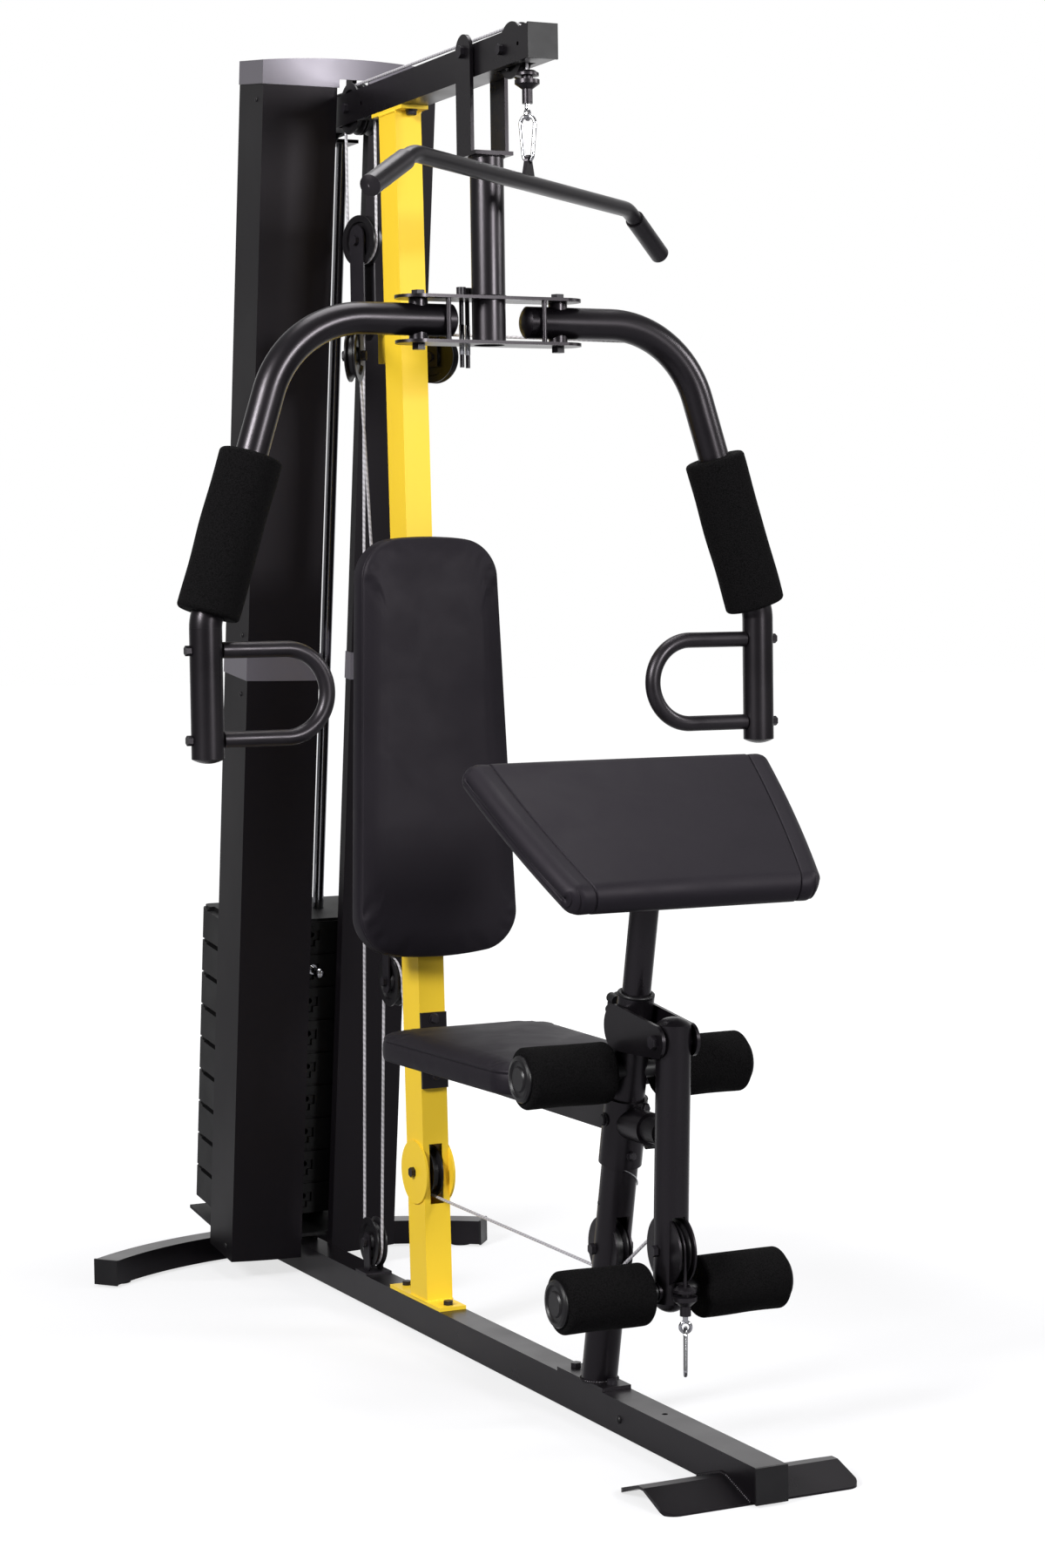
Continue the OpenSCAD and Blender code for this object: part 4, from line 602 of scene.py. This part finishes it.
def sleeve(context, name, body, start, axis, l, d, bore, replaced):
    """A foam sleeve: a turned profile with ends rolled to a radius e and cut faces, its radius eased by
    slow waves round and along it."""
    r, b, e = d / 2, bore / 2, 7.0
    a = np.radians(np.linspace(-90, 0, 8))
    first = np.column_stack([e + e * np.sin(a), r - e + e * np.cos(a)])
    run = np.column_stack([np.linspace(e, l - e, 40)[1:-1], np.full(38, r)])
    last = np.column_stack([l - first[::-1, 0], first[::-1, 1]])
    face = np.array([(0.0, b), (0.0, b + 2), (0.6, b + 4), (0.3, (b + r) / 2)])
    profile = np.vstack([face, first, run, last, np.column_stack([l - face[::-1, 0], face[::-1, 1]])])
    rings = turned(profile, start, axis, FOAM_SIDES)
    s, q = np.meshgrid(profile[:, 0], full_turn(FOAM_SIDES), indexing="ij")
    wave = 0.45 * np.sin(3 * q + s / 31) + 0.35 * np.sin(5 * q - s / 23 + 1.3) + 0.3 * np.sin(s / 17 + 2 * q)
    centre = np.asarray(start) + profile[:, :1] * np.asarray(axis) / np.linalg.norm(axis)
    out = rings - centre[:, None]
    size = np.linalg.norm(out, axis=-1, keepdims=True)
    rings = rings + out / size * (wave - 0.6)[..., None] * np.clip((size - b - 6) / (r - b), 0, 1)
    piece = put(context, name, hoop(rings), "foam", body)
    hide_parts(replaced)
    return piece


class GYM_OT_foam(bpy.types.Operator):
    """Foam sleeves on the arms and the four leg rollers"""
    bl_idname = "gym.foam"
    bl_label = "Foam"

    def execute(self, context):
        _, sizes, _ = options(context)
        arm, roll = sizes.arm_foam / MM, sizes.roller / MM
        down = np.array([math.cos(BEND), 0, -math.sin(BEND)])
        top = np.array([BEND_X + BEND_R * math.sin(BEND), YOKE_Y, BEND_Z - BEND_R * (1 - math.cos(BEND))])
        for side, word in ((1, "right"), (-1, "left")):
            flip = np.array([side, 1, 1])
            sleeve(context, f"arm_sleeve_{word}", f"{word}_arm", (top + FOAM_DOWN * down) * flip, down * flip,
                   FOAM_LONG, arm, FOAM_BORE, f"arm_foam_{word}")
            for level, axle in (("upper", UPPER_AXLE), ("lower", LOWER_AXLE)):
                sleeve(context, f"{level}_foam_{word}", f"roller_{level}_{word}", (side * ROLL_X, *axle),
                       (side, 0, 0), ROLL_LONG, roll, ROLL_BORE, f"{level}_roller_{word}")
        return {"FINISHED"}


# Cables

# middles of the wheels, and the radius of a cable's middle round each, in millimetres
FRONT, MID, REAR, FLOAT = (0, -387.4, 2054.5), (10.5, 225, 2054.5), (0, 373.6, 2054.5), (0, 225, 1833)
LIFT, BASE, LOW, POST, LEVER = (0, 145, 576), (0, 250, 108), (0, 7.64, 272), (0, -655, 266), (0, -846, 298)
ARM = (72, 95, 1628)
WRAP = 38.6
# ends of the cables: to the stack's stem, to the hanging bar, to the right arm, under the floating wheel and
# over the lifting wheel
STACK_FROM, STACK_TO = (0, 411.8, 2059.5), (0, 585.6, 722.3)
LAT_FROM, LAT_TO = (0, -426.0, FRONT[2]), (0, -426.0, 2004.5)
ARM_TO = (292, -223.2, 1634.3)
FLOAT_EYE = (0, FLOAT[1], FLOAT[2] - 157.3)
LIFT_EYE = (4.5, LIFT[1], LIFT[2] + 307.2)
CABLE_SIDES = 10


def wrap(wheel, a0, a1, count=24):
    """Points of a cable round a wheel in the YZ plane, in degrees from +Y towards +Z."""
    a = np.radians(np.linspace(a0, a1, count))
    x, y, z = wheel
    return np.stack([np.full(count, x), y + WRAP * np.cos(a), z + WRAP * np.sin(a)], -1)


def straight(a, b, count=12):
    """Evenly spaced points between two points, without the ends."""
    return np.linspace(a, b, count + 2)[1:-1]


def chain(*legs):
    """Legs of points joined by straight runs."""
    path = [legs[0]]
    for leg in legs[1:]:
        path += [straight(path[-1][-1], leg[0]), leg]
    return np.vstack(path)


def cable(context, name, path, replaced=None, body=None, side=(1, 0, 0)):
    """A round cable along a path in millimetres, with a map of millimetres along it and turns round it."""
    _, sizes, _ = options(context)
    rings = tube(path, sizes.cable / MM / 2, CABLE_SIDES, side)
    piece = put(context, name, skin(rings), "cable_coat", body)
    corner = np.empty(len(piece.data.loops), int)
    piece.data.loops.foreach_get("vertex_index", corner)
    inside = corner < len(path) * CABLE_SIDES
    far = np.where(inside, run_of(path)[np.minimum(corner // CABLE_SIDES, len(path) - 1)], 0.0)
    around = np.where(inside, (corner % CABLE_SIDES) / CABLE_SIDES, 0.0)
    flat = np.column_stack([far, around]).astype(np.float32)
    piece.data.uv_layers.new(name="lay").data.foreach_set("uv", flat.ravel())
    if replaced:
        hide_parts(replaced)
    return piece


def stretched(context, name, path, replaced=None, side=(1, 0, 0)):
    """A cable that runs from one moving part to another; it rides on neither, its points baked in place."""
    piece = cable(context, name, path, replaced, None, side)
    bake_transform(piece)


class GYM_OT_cables(bpy.types.Operator):
    """The coated cables over their wheels"""
    bl_idname = "gym.cables"
    bl_label = "Cables"

    def execute(self, context):
        # from the hanging bar over the front wheel, round the floating wheel and over the rear wheel
        turn = math.asin(MID[0] / WRAP)
        a = np.radians(np.linspace(360, 180, 30))
        under = np.array(FLOAT) + WRAP * np.stack(
            [-np.cos(a) * math.sin(turn), np.cos(a) * math.cos(turn), np.sin(a)], -1)
        high = chain(wrap(FRONT, 180, 90), wrap((-MID[0], *MID[1:]), 90, 0), under, wrap(MID, 180, 90),
                     wrap(REAR, 90, math.degrees(math.atan(ROD_LEAN))))
        cable(context, "cable_high", high, "cables_fixed", "frame")
        # from the floating wheel's eye round the base, lifting and low wheels to the post
        out, rise = POST[1] - LEVER[1], LEVER[2] - POST[2]
        tilt = math.atan2(rise, out) + math.asin(2 * WRAP / math.hypot(rise, out))
        low = chain(np.array([FLOAT_EYE]), wrap(BASE, 360, 180), wrap(LIFT, 0, 180), wrap(LOW, 360, 270),
                    wrap(POST, 270, 270 - math.degrees(tilt)))
        cable(context, "cable_low", low, None, "frame")
        # the runs that a joint stretches, made here as fixed pieces on no body
        over_lever = (0, LEVER[1] + WRAP * math.sin(tilt), LEVER[2] + WRAP * math.cos(tilt))
        stretched(context, "cable_lever", np.linspace(low[-1], over_lever, 30), "cables_work")
        stretched(context, "cable_stack", np.linspace(STACK_FROM, STACK_TO, 60), "cables_stack")
        stretched(context, "cable_lat", np.linspace(LAT_FROM, LAT_TO, 30))
        # from the lifting wheel's eye over the arm wheels to the arms, split where the yoke takes over
        wheel, eye, tip = np.array(ARM), np.array(LIFT_EYE), np.array(ARM_TO)
        across, back, rise = tip - wheel
        swing, level = math.atan2(across, -back), math.hypot(across, back)
        past = 90 - math.degrees(math.atan2(rise, level) + math.acos(WRAP / math.hypot(level, rise)))
        q = np.radians(np.linspace(0, 90 + past, 20))
        over = wheel + WRAP * np.stack([-np.cos(q) * math.sin(swing), np.cos(q) * math.cos(swing), np.sin(q)], -1)
        half = (over[-1] + tip) / 2
        for side, word in ((1, "right"), (-1, "left")):
            flip = np.array([side, 1, 1])
            cable(context, f"cable_arm_{word}", np.vstack([eye, straight(eye, over[0], 30), over]) * flip,
                  None, "frame")
            stretched(context, f"cable_press_{word}", np.linspace(over[-1], half, 24) * flip,
                      None, (0, 0, 1))
            stretched(context, f"cable_fly_{word}", np.linspace(half, tip, 24) * flip,
                      None, (0, 0, 1))
        return {"FINISHED"}


# Finishes of the solids

def dress(context, name, slot, where=None):
    """Gives a solid its finish; where is a list of (slot, test of the faces' middles in millimetres)."""
    made = finishes(context)
    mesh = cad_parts[name].data
    mesh.materials.clear()
    mesh.materials.append(made[slot])
    if where:
        middles = np.empty(len(mesh.polygons) * 3)
        mesh.polygons.foreach_get("center", middles)
        m = middles.reshape(-1, 3) / MM - (0, FOOT_Y, 0)
        index = np.zeros(len(m), np.int32)
        for k, (other, test) in enumerate(where, 1):
            mesh.materials.append(made[other])
            index[test(m[:, 0], m[:, 1], m[:, 2])] = k
        mesh.polygons.foreach_set("material_index", index)


class GYM_OT_frame(bpy.types.Operator):
    """Finishes of the frame, the arms and the leg developer"""
    bl_idname = "gym.frame"
    bl_label = "Frame and arms"

    def execute(self, context):
        for name in ("base_beam", "front_foot", "rear_leg", "top_beam", "arm_left", "arm_right", "seat_frame",
                     "front_post", "leg_lever", "curl_post", "lat_bar", "press_yoke"):
            dress(context, name, "black_paint")
        dress(context, "upright", "yellow_paint")
        for name in ("handle_left", "handle_right", "lat_grips", "lat_link"):
            dress(context, name, "grip_rubber")
        for name in ("caps_and_buffers", "post_knob", "collar_knob", "upper_axle", "lower_axle"):
            dress(context, name, "cap_plastic")
        return {"FINISHED"}


class GYM_OT_stack(bpy.types.Operator):
    """Finishes of the weight stack, its rods and covers"""
    bl_idname = "gym.stack"
    bl_label = "Stack and covers"

    def execute(self, context):
        for name in ("rest_plates", "lifted_plates", "stack_base"):
            dress(context, name, "stack_black")
        for name in ("cover_left", "cover_right"):
            dress(context, name, "cover_paint")
        for name in ("cover_bands", "cover_cap"):
            dress(context, name, "silver_plastic")
        # the crosspiece that holds the rods' tops is painted, and the tops that stand out of it are bright
        dress(context, "guide_rods", "chrome_rods", [
            ("black_paint", lambda x, y, z: (z > 2022) & (np.hypot(np.abs(x) - 45, y - 417) > 11))])
        dress(context, "selector_stem", "zinc")
        dress(context, "selector_pin", "chrome_rods")
        return {"FINISHED"}


class GYM_OT_hardware(bpy.types.Operator):
    """Finishes of the wheels, brackets, bolts and links"""
    bl_idname = "gym.hardware"
    bl_label = "Wheels and links"

    def execute(self, context):
        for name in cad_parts:
            if name.startswith("pulley_"):
                dress(context, name, "pulley_plastic")
        dress(context, "mounts_and_bolts", "dark_zinc")
        dress(context, "yoke_hardware", "dark_zinc")
        dress(context, "lat_swivel", "chrome_rods")
        # above the bright link are its rubber stop and the cable's run round the wheel in dark grip rubber, the cable
        # there as painted shade of the wheel's groove, and, beside the wheel, dark plated steel
        dress(context, "low_link", "chrome_rods", [
            # painted shade: the cable lying in the lever wheel's groove is given the dark rubber finish
            ("grip_rubber", lambda x, y, z: z > 209),
            ("dark_zinc", lambda x, y, z: (np.abs(x) > 6) & (z > 285))])
        return {"FINISHED"}


# Fastenings and welds

POST_TILT = math.atan(POST_LEAN)
# the covers' rivets: the foot of the stack's rods, how far before it and to the side they lie, and how high
RODS_Y, RODS_Z = 665, 112
RIVET_BEFORE, RIVET_X, RIVET_UP = 110, 159.0, (-38, 972, 1076, 1992)
# section of the bent front foot under the base beam, as (y, z), and the side of the beam
FOOT_RIDGE = np.array([(-1108, 3), (-1042, 24), (-1026, 24), (-960, 3)])
BEAM_SIDE = 24.6
# the press yoke's two welds, and the places of its lock pins about its tube
YOKE_WELDS, LOCK_PINS = (1692.3, 1908.8), ((-40, 15), (-25, 26))
# faces of the base plate and the top plate that the upright is welded to
UPRIGHT_WELDS = (60.4, 2022.4)


def post_y(z):
    """Middle of the front post at a height, in millimetres."""
    return -612 + POST_LEAN * (z - 54)


def hex_head(place, axis, across, height=6.5):
    """A hex head on its washer, standing on a place along an axis."""
    r = across / math.sqrt(3)
    axis = np.asarray(axis, float) / np.linalg.norm(axis)
    washer = skin(turned([(-0.4, r * 1.18), (1.4, r * 1.18), (1.8, r * 1.08)], place, axis, 32))
    head = [(1.6, r), (height * 0.8, r), (height, r * 0.86)]
    return [washer, skin(turned(head, place, axis, 6))]


def button(place, axis, d, height):
    """A low domed rivet or plug on a place along an axis."""
    a = np.radians(np.linspace(0, 84, 7))
    profile = np.vstack([(-0.4, d / 2), np.column_stack([height * np.sin(a), d / 2 * np.cos(a)])])
    return skin(turned(profile, place, axis, 24))


def bead(path, r=2.4, ripple=4.0):
    """A closed weld bead: a round bar along a loop, rippled along its length."""
    loop = np.vstack([path, path[:1]])
    whole = run_of(loop)[-1]
    s = np.linspace(0, whole, int(whole / 0.9), endpoint=False)
    thick = r * (1 + 0.16 * np.sin(2 * np.pi * s / ripple))
    return hoop(tube(points_along(loop, s), thick, 10, (0.3, 0.2, 1.0), True))


def ellipse(y, z, a, b, count=72):
    """A level ellipse about a point of the middle plane."""
    q = full_turn(count)
    return np.column_stack([a * np.cos(q), y + b * np.sin(q), np.full(count, z)])


def oblong(y, z, half_x, half_y, cut=3.0):
    """A level oblong about a point of the middle plane, its corners cut."""
    x, d = half_x - cut, half_y - cut
    return np.array([(half_x, y - d, z), (half_x, y + d, z), (x, y + half_y, z), (-x, y + half_y, z),
                     (-half_x, y + d, z), (-half_x, y - d, z), (-x, y - half_y, z), (x, y - half_y, z)])


class GYM_OT_details(bpy.types.Operator):
    """Bolt heads, rivets, weld beads, the lock pins' bright ends, and the popper pin's wire"""
    bl_idname = "gym.details"
    bl_label = "Fastenings and welds"

    def execute(self, context):
        turn = math.radians(30)
        aside = np.array((math.sin(turn), -math.cos(turn), 0))
        heads = (
            # on the front post's collar and below it
            ((-31.8, post_y(466), 466), (-1, 0, 0), 15),
            (32 * aside + (0, post_y(482), 482), aside, 15),
            ((0, post_y(412) - 32, 412), (0, -1, 0.1), 11, 8),
            # on the front of the upright, over and under the seat
            ((0, -25.7, 531), (0, -1, 0), 13), ((0, -28.4, 437), (0, -1, 0), 13),
            # under the upright's top plate
            ((0, TOP_Y - 48, 2022.8), (0, 0, -1), 15, 9), ((0, TOP_Y + 48, 2022.8), (0, 0, -1), 15, 9))
        put(context, "frame_bolts", merged([part for head in heads for part in hex_head(*head)]),
            "dark_zinc", "frame", True)
        lean = math.atan(ROD_LEAN)
        rivets = [(RIVET_X, RODS_Y - RIVET_BEFORE * math.cos(lean) - h * math.sin(lean),
                   RODS_Z - RIVET_BEFORE * math.sin(lean) + h * math.cos(lean)) for h in RIVET_UP]
        dots = [button((side * x, y, z), (side, 0, 0), 9, 2.2) for x, y, z in rivets for side in (-1, 1)]
        # plugs on the base beam and the front post
        dots += [button((-23.9, -723, 26), (-1, 0, 0), 12, 4),
                 button((-26.2, post_y(336) + 6, 336), (-1, 0.25, 0), 8, 1.2)]
        put(context, "frame_rivets", merged(dots), "cap_plastic", "frame")
        edge = np.vstack([FOOT_RIDGE + (0, 0.8), FOOT_RIDGE[::-1] - (0, 0.8)])
        beads = [bead(np.column_stack([np.full(len(edge), side * BEAM_SIDE), edge])) for side in (1, -1)]
        beads.append(bead(ellipse(post_y(60.4), 60.4, 27, 27 / math.cos(POST_TILT))))
        put(context, "frame_welds", merged(beads), "black_paint", "frame")
        put(context, "yoke_welds", merged([bead(ellipse(YOKE_Y, z, 26.5, 26.5)) for z in YOKE_WELDS]),
            "black_paint", "yoke")
        put(context, "upright_welds", merged([
            bead(oblong(TOP_Y * z / TOP_Z, z, 23.2, 34.2)) for z in UPRIGHT_WELDS]), "yellow_paint", "frame")
        pin = [(0, 3.4), (1, 4.2), (46.5, 4.2)]
        put(context, "lock_pin_ends", merged([
            skin(turned(pin, (x, YOKE_Y + y, 1603.6), (0, 0, 1), 24)) for x, y in LOCK_PINS]), "chrome_rods", "yoke")
        lip = [(0.2, 21.5), (0.2, 27.1), (3.4, 27.1), (4.6, 25.6), (4.6, 21.5)]
        put(context, "post_bushing", hoop(turned(
            lip, (0, post_y(650), 650), (0, math.sin(POST_TILT), math.cos(POST_TILT)))), "cap_plastic", "frame")
        # the popper pin's wire hangs round the post
        q = np.radians(np.linspace(192, 338, 40))
        z = np.linspace(401, 362, 40) + 7 * np.sin(np.linspace(0, np.pi, 40))
        wire = np.column_stack([28.6 * np.cos(q), post_y(z) + 28.6 * np.sin(q), z])
        put(context, "popper_wire", skin(tube(wire, 1.0, 8, (0, 0, 1))), "chrome_rods", "frame")
        return {"FINISHED"}


# Stage

# the camera of the photograph: its place in metres, its turn, and its lens and sensor in millimetres
CAMERA_AT = (-2.0747, -4.5187, 1.2315)
YAW, PITCH, ROLL = (math.radians(a) for a in (25.633, -3.51, -0.783))
LENS, SENSOR = 71.412, 36.0
# place, aim and size of each lamp, in metres
LAMPS = {
    "key": ((-4.3, -1.9, 3.2), (0, -0.2, 1.0), 1.3),
    "fill": ((1.1, -4.6, 2.2), (0, -0.2, 1.1), 0.8),
    "rim": ((3.3, -1.7, 2.7), (0, 0.2, 1.7), 0.9),
    "top": ((0.2, 0.6, 4.6), (0, 0, 1.0), 2.4),
}
# the floor's radius and height, where its glow starts and ends its rise to the room's white, all in metres, and
# its glow near the object
FLOOR_R, FLOOR_Z, FLOOR_SIDES = 40.0, -0.0005, 96
GLOW_FROM, GLOW_TO, GLOW_NEAR = 0.9, 1.9, 0.72
# how straight ahead of the viewer a mirrored ray runs where the white room starts to show, and shows in full
AHEAD_FROM, AHEAD_TO = -0.55, -0.99


def soft_lamp(scene, name, place, aim, size, power):
    """A square softbox at a place, turned to its aim."""
    data = bpy.data.lights.new(name, "AREA")
    data.shape = "SQUARE"
    data.size = size
    data.energy = power
    lamp = bpy.data.objects.new(name, data)
    lamp.location = place
    lamp.rotation_euler = (Vector(aim) - Vector(place)).to_track_quat("-Z", "Y").to_euler()
    scene.collection.objects.link(lamp)


def seen_directly(tree):
    """1 where the eye sees a surface straight on, or in a mirror or through glass beyond the object;
    0 for room light and for what a mirror shows of the dim room behind the viewer."""
    path = node(tree, "ShaderNodeLightPath").outputs
    mirror = maths(tree, "MAXIMUM", path["Is Glossy Ray"], path["Is Transmission Ray"])
    incoming = node(tree, "ShaderNodeNewGeometry").outputs["Incoming"]
    turned_in = node(
        tree, "ShaderNodeVectorTransform", {}, {"Vector": incoming}, vector_type="VECTOR",
        convert_from="WORLD", convert_to="CAMERA")
    depth = node(tree, "ShaderNodeSeparateXYZ", {}, {"Vector": turned_in.outputs["Vector"]}).outputs["Z"]
    beyond = ranged(tree, depth, AHEAD_FROM, AHEAD_TO, 0.0, 1.0, interpolation_type="SMOOTHSTEP")
    return maths(tree, "MAXIMUM", maths(tree, "MULTIPLY", mirror, beyond), path["Is Camera Ray"])


def photo_camera(scene):
    """The camera that took the photograph."""
    ahead = Vector((math.sin(YAW) * math.cos(PITCH), math.cos(YAW) * math.cos(PITCH), math.sin(PITCH)))
    level = Vector((math.cos(YAW), -math.sin(YAW), 0))
    above = level.cross(ahead)
    right = math.cos(ROLL) * level + math.sin(ROLL) * above
    up = -math.sin(ROLL) * level + math.cos(ROLL) * above
    data = bpy.data.cameras.new("photo_view")
    data.sensor_width = SENSOR
    data.lens = LENS
    camera = bpy.data.objects.new("photo_view", data)
    camera.matrix_world = Matrix.Translation(CAMERA_AT) @ Matrix((right, up, -ahead)).transposed().to_4x4()
    scene.collection.objects.link(camera)
    scene.camera = camera


def white_room(scene, stage):
    """A world that is white to the eye and dim as a light."""
    world = bpy.data.worlds.new("room")
    scene.world = world
    world.use_nodes = True
    tree = world.node_tree
    feed(tree, tree.nodes["Background"], {"Color": WHITE},
         {"Strength": ranged(tree, seen_directly(tree), 0.0, 1.0, stage.sky, 1.0)})


def pale_floor(scene, stage):
    """A matt painted floor: lit near the object, and fading to the white room further out."""
    floor = bpy.data.objects.new("floor", bpy.data.meshes.new("floor"))
    a = full_turn(FLOOR_SIDES)
    rim = np.stack([FLOOR_R * np.cos(a), FLOOR_R * np.sin(a), np.full(FLOOR_SIDES, FLOOR_Z)], -1)
    floor.data.from_pydata(rim.tolist(), [], [list(range(FLOOR_SIDES))])
    scene.collection.objects.link(floor)
    material, tree, shader, where = blank("pale_floor")
    far = node(tree, "ShaderNodeVectorMath", {}, {0: where}, operation="LENGTH").outputs["Value"]
    glow = ranged(tree, far, GLOW_FROM, GLOW_TO, GLOW_NEAR, 1.0, interpolation_type="SMOOTHSTEP")
    feed(tree, shader, {
        "Base Color": (*stage.floor, 1.0), "Roughness": 0.9, "Specular IOR Level": 0.1, "Emission Color": WHITE},
        {"Emission Strength": maths(tree, "MULTIPLY", glow, seen_directly(tree))})
    floor.data.materials.append(material)


class GYM_OT_stage(bpy.types.Operator):
    """Camera of the photograph, softboxes and a pale floor"""
    bl_idname = "gym.stage"
    bl_label = "Stage"

    def execute(self, context):
        _, _, stage = options(context)
        scene = context.scene
        scene.view_settings.view_transform = "Standard"
        photo_camera(scene)
        for name, lamp in LAMPS.items():
            soft_lamp(scene, name, *lamp, getattr(stage, name))
        white_room(scene, stage)
        pale_floor(scene, stage)
        return {"FINISHED"}


OPERATORS = (GYM_OT_stage, GYM_OT_cables, GYM_OT_frame, GYM_OT_stack, GYM_OT_hardware, GYM_OT_details, GYM_OT_foam,
             GYM_OT_pads)


class GYM_PT_panel(bpy.types.Panel):
    """Settings and steps of the multi-gym"""
    bl_idname = "GYM_PT_panel"
    bl_label = "Multi-gym"
    bl_space_type = "VIEW_3D"
    bl_region_type = "UI"
    bl_category = "Multi-gym"

    def draw(self, context):
        for group in options(context):
            box = self.layout.box()
            for name in type(group).__annotations__:
                box.prop(group, name)
        for operator in OPERATORS:
            self.layout.operator(operator.bl_idname)


CLASSES = (GymColours, GymSizes, GymStage, *OPERATORS, GYM_PT_panel)


def register():
    for c in CLASSES:
        bpy.utils.register_class(c)
    bpy.types.Scene.gym_colours = PointerProperty(type=GymColours)
    bpy.types.Scene.gym_sizes = PointerProperty(type=GymSizes)
    bpy.types.Scene.gym_stage = PointerProperty(type=GymStage)


def unregister():
    for name in ("gym_colours", "gym_sizes", "gym_stage"):
        delattr(bpy.types.Scene, name)
    for c in reversed(CLASSES):
        bpy.utils.unregister_class(c)


def main():
    """Builds the scene in order."""
    register()
    for operator in OPERATORS:
        space, name = operator.bl_idname.split(".")
        getattr(getattr(bpy.ops, space), name)()


if __name__ == "__main__":
    main()
